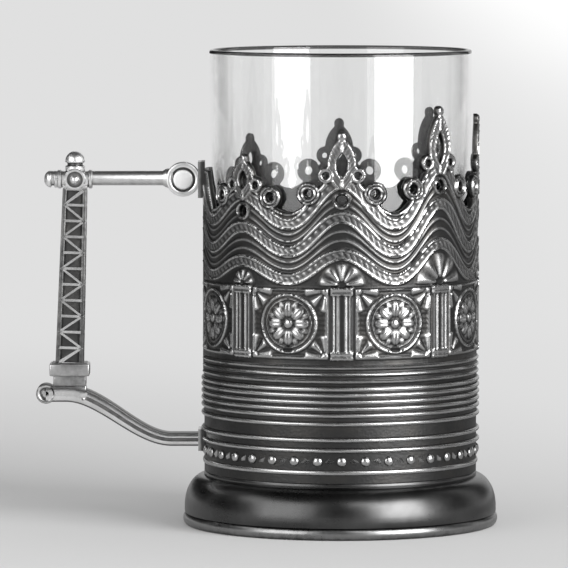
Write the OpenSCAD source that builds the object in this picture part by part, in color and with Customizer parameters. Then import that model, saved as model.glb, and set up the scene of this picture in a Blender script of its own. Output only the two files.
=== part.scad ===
// Podstakannik: a metal holder with a handle, and the tea glass that stands in it.
// Millimetres. +Z is up, the handle points along -X, and the origin is the centre
// of the foot's underside.

/* [Glass] */
// Outer diameter of the glass at its rim
glass_d = 65.2; // [62:0.2:70]
// Height of the glass
glass_h = 103.8; // [98:0.2:112]
// Thickness of the glass's wall
glass_wall = 1.2; // [1:0.1:2]
// Thickness of the glass's bottom at its edge
glass_base = 4; // [3:0.5:6]
// How much smaller the radius is at the bottom than at the rim
glass_draft = 1; // [0:0.1:2]
// Radius of the rounded lower edge of the glass
glass_edge_r = 3; // [2:0.5:4]
// Depth of the hollow under the glass
glass_punt = 0.8; // [0.4:0.2:1.6]

/* [Casing] */
// Space between the glass's rim and the casing, on the radius
glass_gap = 0.4; // [0.3:0.1:0.8]
// Thickness of the casing's sheet
casing_wall = 0.85; // [0.7:0.05:1.2]
// How far the reeding and the relief stand out from the sheet
relief = 0.75; // [0.4:0.05:1]
// Height of the plain neck above the foot
neck_h = 2.6; // [2:0.2:4]
// Height of the band between the two lowest beads
band_h = 5.5; // [4:0.5:8]
// Height of the reeded zone
reed_h = 15; // [12:0.5:18]
// Height of a reed
reed_w = 1.25; // [1:0.05:1.4]
// Height of the frieze, from the reeding to the foot of the crest
frieze_h = 39.5; // [34:0.5:44]

/* [Frieze] */
// Height of the raised figures above the sheet
figure = 0.55; // [0.4:0.05:0.7]
// Width of a wave ribbon
ribbon_w = 2.4; // [2:0.1:2.6]
// Drop from the crest's rim to the middle of the first ribbon
ribbon_drop = 2.9; // [2.8:0.1:3.1]
// Drop from one ribbon to the next
ribbon_pitch = 6.7; // [6.5:0.1:6.8]
// Plain space between the ends of the ribbons of two lobes
ribbon_gap = 0.5; // [0.4:0.05:0.8]
// Distance between the small mouldings under the panels
moulding_pitch = 1.65; // [1.4:0.05:1.7]
// Height of the panels' foot above the reeding
panel_rise = 7.1; // [6.6:0.1:7.4]
// Height of a panel
panel_h = 17.6; // [17:0.2:18]
// Width of a panel
panel_w = 20.2; // [19.6:0.2:20.4]
// Width of the raised frame round a panel
frame_w = 1; // [0.6:0.1:1.2]
// Outer radius of the ring round a rosette
ring_r = 7.4; // [7:0.1:7.6]
// Width of that ring
ring_w = 0.9; // [0.6:0.1:1.1]
// Distance from a rosette's middle to the middle of a petal
petal_reach = 3.4; // [3.2:0.1:3.6]
// Radius of a petal
petal_r = 1.2; // [1.1:0.05:1.25]
// Radius of a rosette's boss
boss_r = 1.25; // [1:0.05:1.4]
// Width of a pilaster
pilaster_w = 5; // [4.6:0.1:5.2]
// Height of a pilaster's base and of its capital
block_h = 1.9; // [1.6:0.1:2.2]
// How much the base and the capital stand out to each side
block_out = 0.35; // [0.2:0.05:0.4]
// Plain space round the palmette on a capital
palmette_gap = 0.6; // [0.4:0.1:1]

/* [Crest] */
// Height of the crest at its tallest finial, above the frieze
crest_h = 29; // [24:0.5:32]
// Height of the crest's rim where two lobes meet
valley_h = 3.4; // [2:0.2:5]
// Width of a leaf finial
leaf_w = 7.4; // [6:0.2:8.4]
// Radius of the bead on a finial's tip
tip_r = 1.3; // [1:0.1:1.6]
// Radius of an outer scroll
scroll_r = 2.9; // [2.4:0.1:3.4]
// Radius of an outer scroll's pierced eye
scroll_eye_r = 1.05; // [0.8:0.05:1.4]
// Radius of an inner scroll
small_scroll_r = 2.1; // [1.8:0.1:2.6]
// Radius of an inner scroll's pierced eye
small_scroll_eye_r = 0.7; // [0.5:0.05:0.9]
// Radius of the round piercing between a lobe's first two ribbons
hump_eye_r = 1.3; // [1:0.1:1.6]
// Width of metal round the pierced slot in a leaf
leaf_rim = 2.5; // [2.2:0.1:2.8]
// Height of the plain tab behind the handle, above the frieze
tab_h = 12.4; // [11:0.2:15]
// Half the width of the tab's top
tab_half_w = 8.6; // [7:0.2:10]

/* [Foot] */
// Diameter of the foot above its bead
foot_d = 77.6; // [74:0.2:84]
// Height of the foot
foot_h = 13.4; // [11:0.2:16]
// Thickness of the foot's sheet
foot_wall = 1.1; // [0.9:0.1:1.4]
// Height of the upright part of the foot, bead included
foot_face_h = 4.5; // [4:0.1:6]
// Height of the bead round the foot's lower edge
wire_h = 3; // [2:0.1:3.6]
// How far the bead is let into the foot
wire_seat = 0.6; // [0.4:0.05:0.8]
// How far the bead stands out from the foot
wire_proud = 0.35; // [0.2:0.05:0.6]
// Width of the foot's top flange, which carries the floor
flange_w = 4.5; // [3:0.5:7]
// Thickness of the floor
floor_t = 0.8; // [0.6:0.1:1.2]
// Depth of the floor's pressed centre
floor_dish = 0.5; // [0.3:0.1:0.8]
// Radius of the floor's pressed centre
floor_dish_r = 22; // [16:1:26]

/* [Cross arm] */
// Height of the cross arm's axis above the foot's top
arm_rise = 72.4; // [68:0.2:74]
// Radius of the cross arm
arm_r = 1.55; // [1.3:0.05:1.9]
// Distance from the casing's sheet to the centre of the eye
eye_reach = 5.2; // [4.8:0.1:7]
// Radius of the eye
eye_r = 4.2; // [3.8:0.1:4.6]
// Thickness of the eye
eye_t = 5.4; // [4.8:0.2:6.4]
// Width of the raised rim round the eye
eye_rim = 0.75; // [0.5:0.05:1]
// Depth of the groove inside the eye's rim
eye_groove = 0.45; // [0.3:0.05:0.6]
// Thickness of the lug's tongue in the eye's slot
tongue_t = 2; // [1.6:0.1:2.6]
// Radius of the rivet's shank
rivet_r = 1.4; // [1.2:0.1:1.6]
// Radius of the rivet's domed head
rivet_head_r = 2.5; // [2.2:0.1:2.8]
// Height of the rivet's domed head
rivet_head_h = 1.1; // [0.8:0.1:1.4]
// Radius of the arm's outer cap
cap_r = 2.1; // [1.9:0.1:2.6]
// Length of the arm's outer cap
cap_l = 3.4; // [2.8:0.2:4.2]

/* [Mast] */
// Distance from the casing's sheet to the mast's axis, at the mast's foot
mast_reach = 33.5; // [30:0.5:38]
// Lean of the mast towards the casing
mast_lean = 1.9; // [0:0.1:3]
// Width of the mast, along the arm
mast_w = 6; // [5:0.2:7]
// Depth of the mast, across the arm
mast_t = 5.2; // [4.4:0.2:6]
// Number of bays of the lattice
mast_bays = 11; // [9:1:13]
// Width of the lattice's corner rails
rail_w = 1.05; // [0.8:0.05:1.3]
// Width of the lattice's ties and diagonals
tie_w = 0.7; // [0.5:0.05:0.9]
// Depth of the lattice's pockets
pocket_d = 0.75; // [0.5:0.05:1]
// Length of the hub, along the arm
hub_l = 8.6; // [7:0.2:10]
// Radius of the hub's sleeve
hub_r = 2.35; // [2.2:0.05:2.8]
// Radius of the hub's round faces
hub_face_r = 2.7; // [2.5:0.1:3]
// Radius of the small domes on the hub
stud_r = 1.2; // [0.9:0.1:1.5]
// Height of the finial on the hub
finial_h = 4.6; // [4:0.2:6]
// Radius of the finial
finial_r = 2.45; // [2.2:0.05:2.8]
// Width of the collar's upper slab, along the arm
collar_w = 9.9; // [9:0.1:11]
// Depth of the collar's upper slab
collar_t = 7.6; // [7:0.2:9]
// Height of the collar
collar_h = 5.6; // [5:0.2:7]
// How much the collar's lower slab is set in on each side
collar_step = 0.9; // [0.5:0.1:1.2]

/* [Bracket] */
// Height of the bracket's upper seat above the foot's top
bracket_rise = 21; // [18:0.5:24]
// Height of the bracket's lower end above the foot's top
bracket_end_rise = 7.6; // [7:0.2:9]
// Thickness of the bracket at the mast
bracket_t = 4; // [3.4:0.1:4.6]
// Thickness of the bracket at the casing
bracket_end_t = 3.2; // [2.8:0.1:3.8]
// Width of the bracket, across the arm
bracket_w = 5.6; // [5:0.2:6.4]
// Width of the edge left round the bracket's sunk panels
bracket_rim = 0.95; // [0.7:0.05:1.2]
// Depth of the bracket's sunk panels
bracket_sink = 0.45; // [0.3:0.05:0.7]
// Radius of the curled tip
curl_r = 2.45; // [2.2:0.05:2.8]
// Distance from the mast's axis to the centre of the curled tip
curl_reach = 5.9; // [5:0.1:7]
// Thickness of the lugs against the casing
lug_t = 1.5; // [1.2:0.1:2]
// Width of the lugs, across the arm
lug_w = 7.6; // [6.6:0.2:9]
// Height of the upper lug
upper_lug_h = 9; // [8:0.5:11]
// Height of the lower lug
lower_lug_h = 5.4; // [4.6:0.2:6]

/* [Fits] */
// Film of solder between curved seats
solder = 0.05; // [0.02:0.01:0.1]
// Clearance round pins and in sockets, on the radius
fit = 0.04; // [0.02:0.01:0.08]
// Space under the glass
glass_stand_off = 0.05; // [0.02:0.01:0.2]

/* [Hidden] */
$fn = 96;
arc_steps = 6;
overrun = 1; // how far a cutter runs past what it cuts

dark_metal = [0.24, 0.24, 0.25];
worn_metal = [0.42, 0.42, 0.43];
bright_metal = [0.72, 0.72, 0.73];
clear_glass = [0.85, 0.92, 0.93, 0.35];

glass_r = glass_d / 2;
casing_in_r = glass_r + glass_gap;
casing_r = casing_in_r + casing_wall;
foot_r = foot_d / 2;
floor_z = foot_h + floor_t;
glass_z = floor_z + glass_stand_off;
band_z = foot_h + neck_h;
reed_z = band_z + band_h;
frieze_z = reed_z + reed_h;
crest_z = frieze_z + frieze_h;

// Places of the reeds, as shares of the reeded zone's height
reed_shares = [0, 0.17, 0.43, 0.57, 0.68, 0.79, 0.9, 1];

// Heights of the crest's seven finials, from the handle round by the front, as shares
// of the tallest
finial_shares = [0.6, 0.8, 1, 0.9, 0.82, 0.7, 0.6];
// How strongly each ribbon takes up the waves of the crest's rim, from the top down
ribbon_shares = [1, 0.85, 0.62];
mouldings = 3;
petals = 8;
lobes = len(finial_shares) + 1;
lobe_angle = 360 / lobes;
lobe_half_w = casing_r * sin(lobe_angle / 2);
hump_share = 0.58;
outer_scroll_share = 0.63;
inner_scroll_share = 0.3;
scroll_stand_share = 0.55;
leaf_root_share = 0.34;
slot_share = 0.42;
hump_steps = 8;
tab_wave_share = 0.7;
panel_low = panel_rise - frieze_h;
panel_top = panel_low + panel_h;

arm_z = foot_h + arm_rise;
eye_x = -(casing_r + eye_reach);
mast_foot_x = -(casing_r + mast_reach);
seat_z = foot_h + bracket_rise;
mast_z = seat_z + collar_h;
mast_top_z = arm_z - hub_r;
mast_l = mast_top_z - mast_z;
hub_x = mast_foot_x + mast_l * tan(mast_lean);
cap_x = hub_x - hub_l / 2;
lug_x = -(casing_r + lug_t);
slot_t = tongue_t + 2 * fit;

// Points along an arc round [x, y], from angle a0 to a1
function arc(x, y, r, a0, a1, n = arc_steps) =
    [for (i = [0:n]) let (a = a0 + (a1 - a0) * i / n) [x + r * cos(a), y + r * sin(a)]];

// Points along a quarter of an ellipse that starts level and ends upright
function shoulder(x, y, rx, ry, n = 2 * arc_steps) =
    [for (i = [0:n]) let (a = 90 - 90 * i / n) [x + rx * cos(a), y + ry * sin(a)]];

// Turns a profile about the upright axis
module turned(points) {
    rotate_extrude() polygon(points);
}

// Places its children in the upright X-Z plane and gives them a width across it
module across(width) {
    rotate([90, 0, 0]) linear_extrude(width, center = true) children();
}

// A low dome that stands on the X-Y plane
module dome(r, h) {
    turned(concat([[0, 0]], [for (p = shoulder(0, 0, r, h)) [p[0], p[1]]], [[r, 0]]));
}

// The spun foot: bead seat, upright face, domed shoulder and the flange under the floor
module foot() {
    seat_r = foot_r - wire_seat;
    outer = concat(
        [[casing_r - flange_w, foot_h], [casing_r, foot_h]],
        shoulder(casing_r, foot_face_h, foot_r - casing_r, foot_h - foot_wall - foot_face_h),
        [[foot_r, wire_h], [seat_r, wire_h], [seat_r, 0]]);
    inner = concat(
        [[casing_r - flange_w, foot_h - foot_wall]],
        shoulder(casing_r - foot_wall, foot_face_h, seat_r - casing_r,
            foot_h - 2 * foot_wall - foot_face_h),
        [[seat_r - foot_wall, 0]]);
    color(dark_metal)
        turned(concat(outer, [for (i = [len(inner) - 1:-1:0]) inner[i]]));
}

// The half-round bead round the foot's lower edge
module foot_wire() {
    in_r = foot_r - wire_seat + fit;
    out_r = foot_r + wire_proud;
    soft = wire_h / 2;
    flat_w = out_r - in_r - wire_seat;
    color(worn_metal)
        turned(concat(
            [[in_r, 0], [in_r + flat_w, 0]],
            [for (i = [1:arc_steps - 1]) let (a = -90 + 180 * i / arc_steps)
                [in_r + flat_w + (out_r - in_r - flat_w) * cos(a), soft + soft * sin(a)]],
            [[in_r + flat_w, wire_h - fit], [in_r, wire_h - fit]]));
}

// The pressed plate that the glass stands on
module floor_disc() {
    r = casing_in_r - fit;
    low = foot_h - floor_dish;
    slope = floor_dish;
    color(worn_metal)
        turned([[0, low], [floor_dish_r, low], [floor_dish_r + slope, foot_h], [r, foot_h],
            [r, floor_z], [floor_dish_r, floor_z], [floor_dish_r - slope, low + floor_t],
            [0, low + floor_t]]);
}

// The outline points of a half-round reed or bead on the casing, from its foot upwards
function reed(z, height, proud) =
    [for (i = [0:arc_steps]) let (a = -90 + 180 * i / arc_steps)
        [casing_r + proud * cos(a), z + height / 2 * sin(a)]];

// A pointed leaf, as tall and as wide as asked, that stands on the X axis
module leaf(width, height) {
    r = (height * height + width * width) / (4 * width);
    translate([0, height / 2])
        intersection() {
            translate([r - width / 2, 0]) circle(r);
            translate([width / 2 - r, 0]) circle(r);
        }
}

// Height of a lobe's swept-up rim, for a place from -1 to 1 across the lobe
function rim_at(s, height) =
    valley_h + (height * hump_share - valley_h) * pow(cos(90 * s), 2);

// A scroll that stands on the rim, at the same place on both sides
module scroll_pair(side, height, r, stand_r = 0) {
    lift = rim_at(side, height) + max(r, stand_r) * scroll_stand_share;
    for (s = [-1, 1]) translate([s * side * lobe_half_w, lift]) circle(r);
}

// Outline of one crest lobe: a swept-up rim, two pairs of scrolls and a pierced leaf
module lobe_outline(height) {
    leaf_z = height * leaf_root_share;
    leaf_h = height - leaf_z - tip_r;
    slot_w = leaf_w - 2 * leaf_rim;
    eye_z = valley_h - ribbon_drop - ribbon_pitch / 2
        + (height * hump_share - valley_h) * (1 + ribbon_shares[1]) / 2;
    difference() {
        union() {
            polygon(concat(
                [[-lobe_half_w, -overrun]],
                [for (i = [-hump_steps:hump_steps]) let (s = i / hump_steps)
                    [s * lobe_half_w, rim_at(s, height)]],
                [[lobe_half_w, -overrun]]));
            scroll_pair(outer_scroll_share, height, scroll_r);
            scroll_pair(inner_scroll_share, height, small_scroll_r);
            translate([0, leaf_z]) leaf(leaf_w, leaf_h);
            translate([0, height - tip_r]) circle(tip_r);
        }
        scroll_pair(outer_scroll_share, height, scroll_eye_r, scroll_r);
        scroll_pair(inner_scroll_share, height, small_scroll_eye_r, small_scroll_r);
        translate([0, leaf_z + leaf_h / 2]) leaf(slot_w, leaf_h * slot_share);
        translate([0, eye_z]) circle(hump_eye_r);
    }
}

// A strip that follows the waves of a lobe's rim, a drop below it, and ends level
module ribbon(height, drop, share, steps) {
    rise = (height * hump_share - valley_h) * share;
    half_w = lobe_half_w - ribbon_gap / 2;
    bend = rise * PI / 2 / half_w;
    middle = [for (i = [-steps:steps]) let (s = i / steps)
        [s * half_w, valley_h - drop + rise * pow(cos(90 * s), 2),
            ribbon_w / 2 * norm([1, bend * sin(180 * s)])]];
    polygon(concat(
        [for (m = middle) [m[0], m[1] + m[2]]],
        [for (i = [2 * steps:-1:0]) let (m = middle[i]) [m[0], m[1] - m[2]]]));
}

// All the ribbons under a lobe
module ribbons(height) {
    for (i = [0:len(ribbon_shares) - 1])
        ribbon(height, ribbon_drop + ribbon_pitch * i, ribbon_shares[i],
            i == 0 ? hump_steps : hump_steps / 2);
}

// The pilaster under a lobe, with its base and capital and the half-round palmette on it
module pilaster(height) {
    last = len(ribbon_shares) - 1;
    ribbon_low = valley_h - ribbon_drop - ribbon_pitch * last - ribbon_w / 2
        + (height * hump_share - valley_h) * ribbon_shares[last];
    fan_r = ribbon_low - panel_top - 2 * palmette_gap;
    translate([-pilaster_w / 2, panel_low]) square([pilaster_w, panel_h]);
    for (z = [panel_low, panel_top - block_h])
        translate([-pilaster_w / 2 - block_out, z])
            square([pilaster_w + 2 * block_out, block_h]);
    translate([0, panel_top + palmette_gap])
        intersection() {
            circle(fan_r);
            translate([-fan_r, 0]) square(2 * fan_r);
        }
}

// A framed panel with a ringed rosette
module panel() {
    translate([0, (panel_low + panel_top) / 2]) {
        difference() {
            square([panel_w, panel_h], center = true);
            square([panel_w - 2 * frame_w, panel_h - 2 * frame_w], center = true);
        }
        difference() {
            circle(ring_r);
            circle(ring_r - ring_w);
        }
        for (i = [1:petals]) rotate(i * 360 / petals) translate([petal_reach, 0])
            circle(petal_r);
        circle(boss_r);
    }
}

// Raises what the children draw on the casing's +X side, measured from the crest's foot,
// within the width of one lobe
module raised() {
    intersection() {
        translate([casing_r / 2, 0, crest_z])
            rotate([90, 0, 90]) linear_extrude(casing_r) children();
        rotate([0, 0, -lobe_angle / 2])
            rotate_extrude(angle = lobe_angle)
                translate([casing_r - casing_wall / 2, 0])
                    square([casing_wall / 2 + figure, crest_z + crest_h]);
    }
}

// The raised work of the frieze, all the way round but for the seam
module frieze() {
    difference() {
        for (i = [0:lobes - 1]) rotate([0, 0, 180 + lobe_angle * i]) {
            share = i == 0 ? tab_wave_share : finial_shares[i - 1];
            raised() {
                ribbons(crest_h * share);
                if (i > 0) pilaster(crest_h * share);
            }
            rotate([0, 0, lobe_angle / 2]) raised() panel();
        }
        seam_strip();
    }
}

// Outline of the plain tab that backs the handle's upper lug
module tab_outline() {
    polygon([[-lobe_half_w, -overrun], [-lobe_half_w, valley_h], [-tab_half_w, tab_h],
        [tab_half_w, tab_h], [lobe_half_w, valley_h], [lobe_half_w, -overrun]]);
}

// Cuts away what lies round an outline that faces along +X and stands on the frieze
module trim_to_outline() {
    translate([casing_r / 2, 0, crest_z])
        rotate([90, 0, 90])
            linear_extrude(casing_r)
                difference() {
                    translate([-lobe_half_w, 0])
                        square([2 * lobe_half_w, crest_h + overrun]);
                    children();
                }
}

// The upright strip along the seam, where the lugs sit
module seam_strip() {
    half = lug_w / 2 + solder;
    translate([-casing_r - relief - overrun, -half, foot_h])
        cube([casing_r, 2 * half, crest_z + crest_h]);
}

// Clears the reeds away along the seam
module seam_cut() {
    difference() {
        seam_strip();
        translate([0, 0, foot_h - overrun])
            cylinder(r = casing_r + fit, h = crest_z + crest_h);
    }
}

// The chased and pierced cylinder
module casing() {
    color(dark_metal)
        difference() {
            union() {
                turned(concat(
                    [[casing_in_r, foot_h], [casing_r, foot_h]],
                    reed(band_z, reed_w, relief / 2),
                    [for (share = reed_shares) each reed(reed_z + reed_h * share, reed_w, relief)],
                    [for (i = [1:mouldings])
                        each reed(frieze_z + moulding_pitch * i + reed_w / 4, reed_w, figure)],
                    [[casing_r, crest_z + crest_h], [casing_in_r, crest_z + crest_h]]));
                frieze();
            }
            seam_cut();
            rotate([0, 0, 180]) trim_to_outline() tab_outline();
            for (i = [0:len(finial_shares) - 1])
                rotate([0, 0, 180 + lobe_angle * (i + 1)])
                    trim_to_outline() lobe_outline(crest_h * finial_shares[i]);
        }
}

// A pad against the casing: flat outside, hollowed to the casing's curve inside
module lug_pad(height) {
    difference() {
        translate([lug_x, -lug_w / 2, -height / 2])
            cube([lug_t + casing_wall, lug_w, height]);
        cylinder(r = casing_r + solder, h = height + 2 * overrun, center = true);
    }
}

// The seat and tongue that hold the handle's upper end
module upper_lug() {
    tongue_r = eye_r - eye_rim;
    color(worn_metal)
        translate([0, 0, arm_z])
            difference() {
                union() {
                    lug_pad(upper_lug_h);
                    translate([eye_x, 0, 0]) rotate([90, 0, 0])
                        cylinder(r = tongue_r, h = tongue_t, center = true);
                    translate([eye_x, -tongue_t / 2, -tongue_r / 2])
                        cube([lug_x - eye_x + lug_t / 2, tongue_t, tongue_r]);
                }
                translate([eye_x, 0, 0]) rotate([90, 0, 0])
                    cylinder(r = rivet_r + fit, h = tongue_t + 2 * overrun, center = true);
            }
}

// The round bar with its forked eye
module cross_arm() {
    end_x = cap_x - cap_l / 2;
    cut_x = lug_x - fit;
    color(bright_metal)
        translate([0, 0, arm_z])
            difference() {
                union() {
                    translate([end_x, 0, 0]) rotate([0, 90, 0])
                        cylinder(r = arm_r, h = eye_x - end_x);
                    translate([eye_x, 0, 0]) rotate([90, 0, 0])
                        cylinder(r = eye_r, h = eye_t, center = true);
                }
                translate([eye_x, 0, 0]) {
                    rotate([90, 0, 0]) {
                        cylinder(r = rivet_r + fit, h = eye_t + 2 * overrun, center = true);
                        for (s = [-1, 1]) translate([0, 0, s * eye_t / 2])
                            cylinder(r = eye_r - eye_rim, h = 2 * eye_groove, center = true);
                    }
                    translate([fit - eye_r, -slot_t / 2, -eye_r - overrun])
                        cube([2 * eye_r + overrun, slot_t, 2 * (eye_r + overrun)]);
                }
                translate([cut_x, -eye_t, -eye_r - overrun])
                    cube([eye_r, 2 * eye_t, 2 * (eye_r + overrun)]);
            }
}

// The rivet through the eye, headed on both sides
module eye_rivet() {
    seat = eye_t / 2 - eye_groove;
    color(bright_metal)
        translate([eye_x, 0, arm_z]) {
            rotate([90, 0, 0]) cylinder(r = rivet_r, h = 2 * seat, center = true);
            for (turn = [90, -90]) rotate([turn, 0, 0])
                translate([0, 0, seat]) dome(rivet_head_r, rivet_head_h);
        }
}

// The turned cap on the arm's outer end
module arm_cap() {
    lip = cap_l / 4;
    waist = cap_r - lip / 2;
    color(bright_metal)
        translate([cap_x, 0, arm_z]) rotate([0, -90, 0])
            difference() {
                turned(concat([[0, 0], [cap_r, 0], [cap_r, lip], [waist, lip],
                        [waist, 2 * lip], [cap_r, 2 * lip]],
                    [for (i = [1:arc_steps]) let (a = 90 * i / arc_steps)
                        [cap_r * cos(a), 2 * lip + 2 * lip * sin(a)]]));
                translate([0, 0, -overrun])
                    cylinder(r = arm_r + fit, h = cap_l / 2 + fit + overrun);
            }
}

// The sleeve that joins the arm and the mast
module mast_hub() {
    lip = hub_l / 10;
    color(bright_metal)
        translate([hub_x, 0, arm_z])
            difference() {
                union() {
                    rotate([0, 90, 0])
                        cylinder(r = hub_r - lip / 3, h = hub_l, center = true);
                    for (s = [-1, 1]) translate([s * (hub_l - lip) / 2, 0, 0])
                        rotate([0, 90, 0]) cylinder(r = hub_r, h = lip, center = true);
                    rotate([90, 0, 0])
                        cylinder(r = hub_face_r, h = mast_t, center = true);
                    translate([-mast_w / 2, -mast_t / 2, -hub_r])
                        cube([mast_w, mast_t, lip]);
                }
                rotate([0, 90, 0])
                    cylinder(r = arm_r + fit, h = hub_l + 2 * overrun, center = true);
                translate([-hub_l / 2, -mast_t, -2 * hub_face_r - hub_r])
                    cube([hub_l, 2 * mast_t, 2 * hub_face_r]);
                translate([-hub_l / 2, -mast_t, hub_r])
                    cube([hub_l, 2 * mast_t, 2 * hub_face_r]);
            }
}

// The small domes on the hub's two faces
module hub_studs() {
    color(bright_metal)
        translate([hub_x, 0, arm_z])
            for (turn = [90, -90]) rotate([turn, 0, 0])
                translate([0, 0, mast_t / 2]) dome(stud_r, stud_r);
}

// The triangular pockets of one lattice face, drawn upwards from the X axis
module pockets(width, length) {
    bay = length / mast_bays;
    x = width / 2 - rail_w;
    top = bay - tie_w / 2;
    low = tie_w / 2;
    slant = tie_w * norm([2 * x, bay - tie_w]) / (2 * x) / 2;
    for (i = [0:mast_bays - 1])
        translate([0, bay * i]) mirror([i % 2, 0]) {
            polygon([[-x, low], [x - slant, low], [-x, top - slant]]);
            polygon([[x, top], [slant - x, top], [x, low + slant]]);
        }
}

// The square post with raised lattice work on its four faces
module mast() {
    long = mast_l / cos(mast_lean) + 2 * mast_w;
    color(worn_metal)
        intersection() {
            translate([mast_foot_x, 0, mast_z]) rotate([0, mast_lean, 0])
                difference() {
                    translate([-mast_w / 2, -mast_t / 2, -mast_w])
                        cube([mast_w, mast_t, long]);
                    for (turn = [0, 180]) rotate([90, 0, turn])
                        translate([0, 0, mast_t / 2 - pocket_d])
                            linear_extrude(pocket_d + overrun) pockets(mast_w, mast_l);
                    for (turn = [90, 270]) rotate([90, 0, turn])
                        translate([0, 0, mast_w / 2 - pocket_d])
                            linear_extrude(pocket_d + overrun) pockets(mast_t, mast_l);
                }
            translate([mast_foot_x - mast_w, -mast_w, mast_z])
                cube([3 * mast_w, 2 * mast_w, mast_l]);
        }
}

// The rounded top piece
module mast_finial() {
    foot_step = finial_h / 5;
    waist = finial_r * 0.8;
    color(worn_metal)
        translate([hub_x, 0, arm_z + hub_r])
            turned(concat([[0, 0], [finial_r, 0], [finial_r, foot_step], [waist, foot_step],
                    [waist, 2 * foot_step], [finial_r, 2 * foot_step]],
                [for (i = [1:2 * arc_steps]) let (a = 90 * i / (2 * arc_steps))
                    [finial_r * cos(a), 2 * foot_step + 3 * foot_step * sin(a)]]));
}

// Half of the collar's stepped outline, mirrored by the caller
module collar_outline(width) {
    half = width / 2;
    step_z = collar_h * 0.45;
    ease = collar_step / 2;
    polygon([[collar_step - half, 0], [collar_step - half, step_z], [-half, step_z],
        [-half, collar_h - ease], [ease - half, collar_h], [half - ease, collar_h],
        [half, collar_h - ease], [half, step_z], [half - collar_step, step_z],
        [half - collar_step, 0]]);
}

// The stepped plinth under the mast
module mast_collar() {
    color(bright_metal)
        translate([mast_foot_x, 0, seat_z])
            intersection() {
                across(2 * collar_t) collar_outline(collar_w);
                rotate([0, 0, 90]) across(2 * collar_w) collar_outline(collar_t);
            }
}

bracket_x0 = mast_foot_x - curl_reach;
bracket_x1 = lug_x;
bracket_top_z = seat_z - bracket_t / 2;
bracket_low_z = foot_h + bracket_end_rise;
bend_start_share = 0.135;
bend_end_share = 0.825;
bracket_steps = 22;

// Eased fall from 0 to 1 over the bend
function ease_in_out(s) = s <= 0 ? 0 : s >= 1 ? 1 : 3 * s * s - 2 * s * s * s;
function bend_at(s) = ease_in_out((s - bend_start_share) / (bend_end_share - bend_start_share));
// A point of the bracket's middle line, for s from 0 at the curl to 1 at the casing
function mid_line(s) = [bracket_x0 + (bracket_x1 - bracket_x0) * s,
    bracket_top_z + (bracket_low_z - bracket_top_z) * bend_at(s)];
function thickness_at(s) = bracket_t + (bracket_end_t - bracket_t) * bend_at(s);
// The same point moved square to the line by a distance
function beside(s, away) =
    let (step = 1 / (4 * bracket_steps), d = mid_line(s + step) - mid_line(s - step))
    mid_line(s) + away * [-d[1], d[0]] / norm(d);

// Outline of the S-shaped bar, drawn in from its edges, between two shares of its length
module bar_outline(inset, s0, s1) {
    polygon(concat(
        [for (i = [0:bracket_steps]) let (s = s0 + (s1 - s0) * i / bracket_steps)
            beside(s, thickness_at(s) / 2 - inset)],
        [for (i = [bracket_steps:-1:0]) let (s = s0 + (s1 - s0) * i / bracket_steps)
            beside(s, inset - thickness_at(s) / 2)]));
}

// The S-shaped bracket with its curled tip and the seat for the collar
module lower_bracket() {
    seat_w = collar_w - 2 * collar_step;
    panel_start_share = 0.24;
    color(bright_metal)
        difference() {
            union() {
                across(bracket_w) bar_outline(0, 0, 1);
                translate([bracket_x0, 0, bracket_top_z]) rotate([90, 0, 0])
                    cylinder(r = curl_r, h = bracket_w, center = true);
                translate([mast_foot_x - seat_w / 2, -bracket_w / 2, bracket_top_z])
                    cube([seat_w, bracket_w, bracket_t / 2]);
            }
            for (s = [-1, 1]) translate([0, s * (bracket_w - bracket_sink) / 2, 0])
                across(bracket_sink) bar_outline(bracket_rim, panel_start_share, 1);
            translate([lug_x - fit, -bracket_w, 0])
                cube([curl_r, 2 * bracket_w, bracket_top_z]);
        }
}

// The seat of the bracket on the casing
module lower_lug() {
    color(worn_metal) translate([0, 0, bracket_low_z]) lug_pad(lower_lug_h);
}

// The thin-walled drinking glass
module tea_glass() {
    foot_in = glass_r - glass_draft;
    lip_r = glass_wall / 2;
    top = glass_h - lip_r;
    in_r = foot_in - glass_wall;
    outer = concat(
        [[0, glass_punt], [foot_in - 3 * glass_edge_r, glass_punt],
            [foot_in - 2 * glass_edge_r, 0]],
        arc(foot_in - glass_edge_r, glass_edge_r, glass_edge_r, -90, 0),
        arc(glass_r - lip_r, top, lip_r, 0, 180));
    inner = concat(
        arc(in_r - glass_edge_r, glass_base + glass_edge_r, glass_edge_r, 0, -90),
        [[0, glass_base]]);
    color(clear_glass) translate([0, 0, glass_z]) turned(concat(outer, inner));
}

foot();
foot_wire();
floor_disc();
casing();
upper_lug();
cross_arm();
eye_rivet();
arm_cap();
mast_hub();
hub_studs();
mast();
mast_finial();
mast_collar();
lower_bracket();
lower_lug();
tea_glass();
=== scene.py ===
# %% [markdown]
# # A podstakannik and its tea glass
# A podstakannik is the metal holder in which hot tea is served in a thin glass. This
# lesson dresses a finished construction model: its pieces keep their size and place, and
# every visible surface gets its shape and its finish here. Lengths in the text are in
# millimetres. Blender works in metres, so one named factor turns the first into the second.

# %% Load the frame
import math
import bpy
import bmesh
import numpy as np
from mathutils import Matrix, Vector


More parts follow.
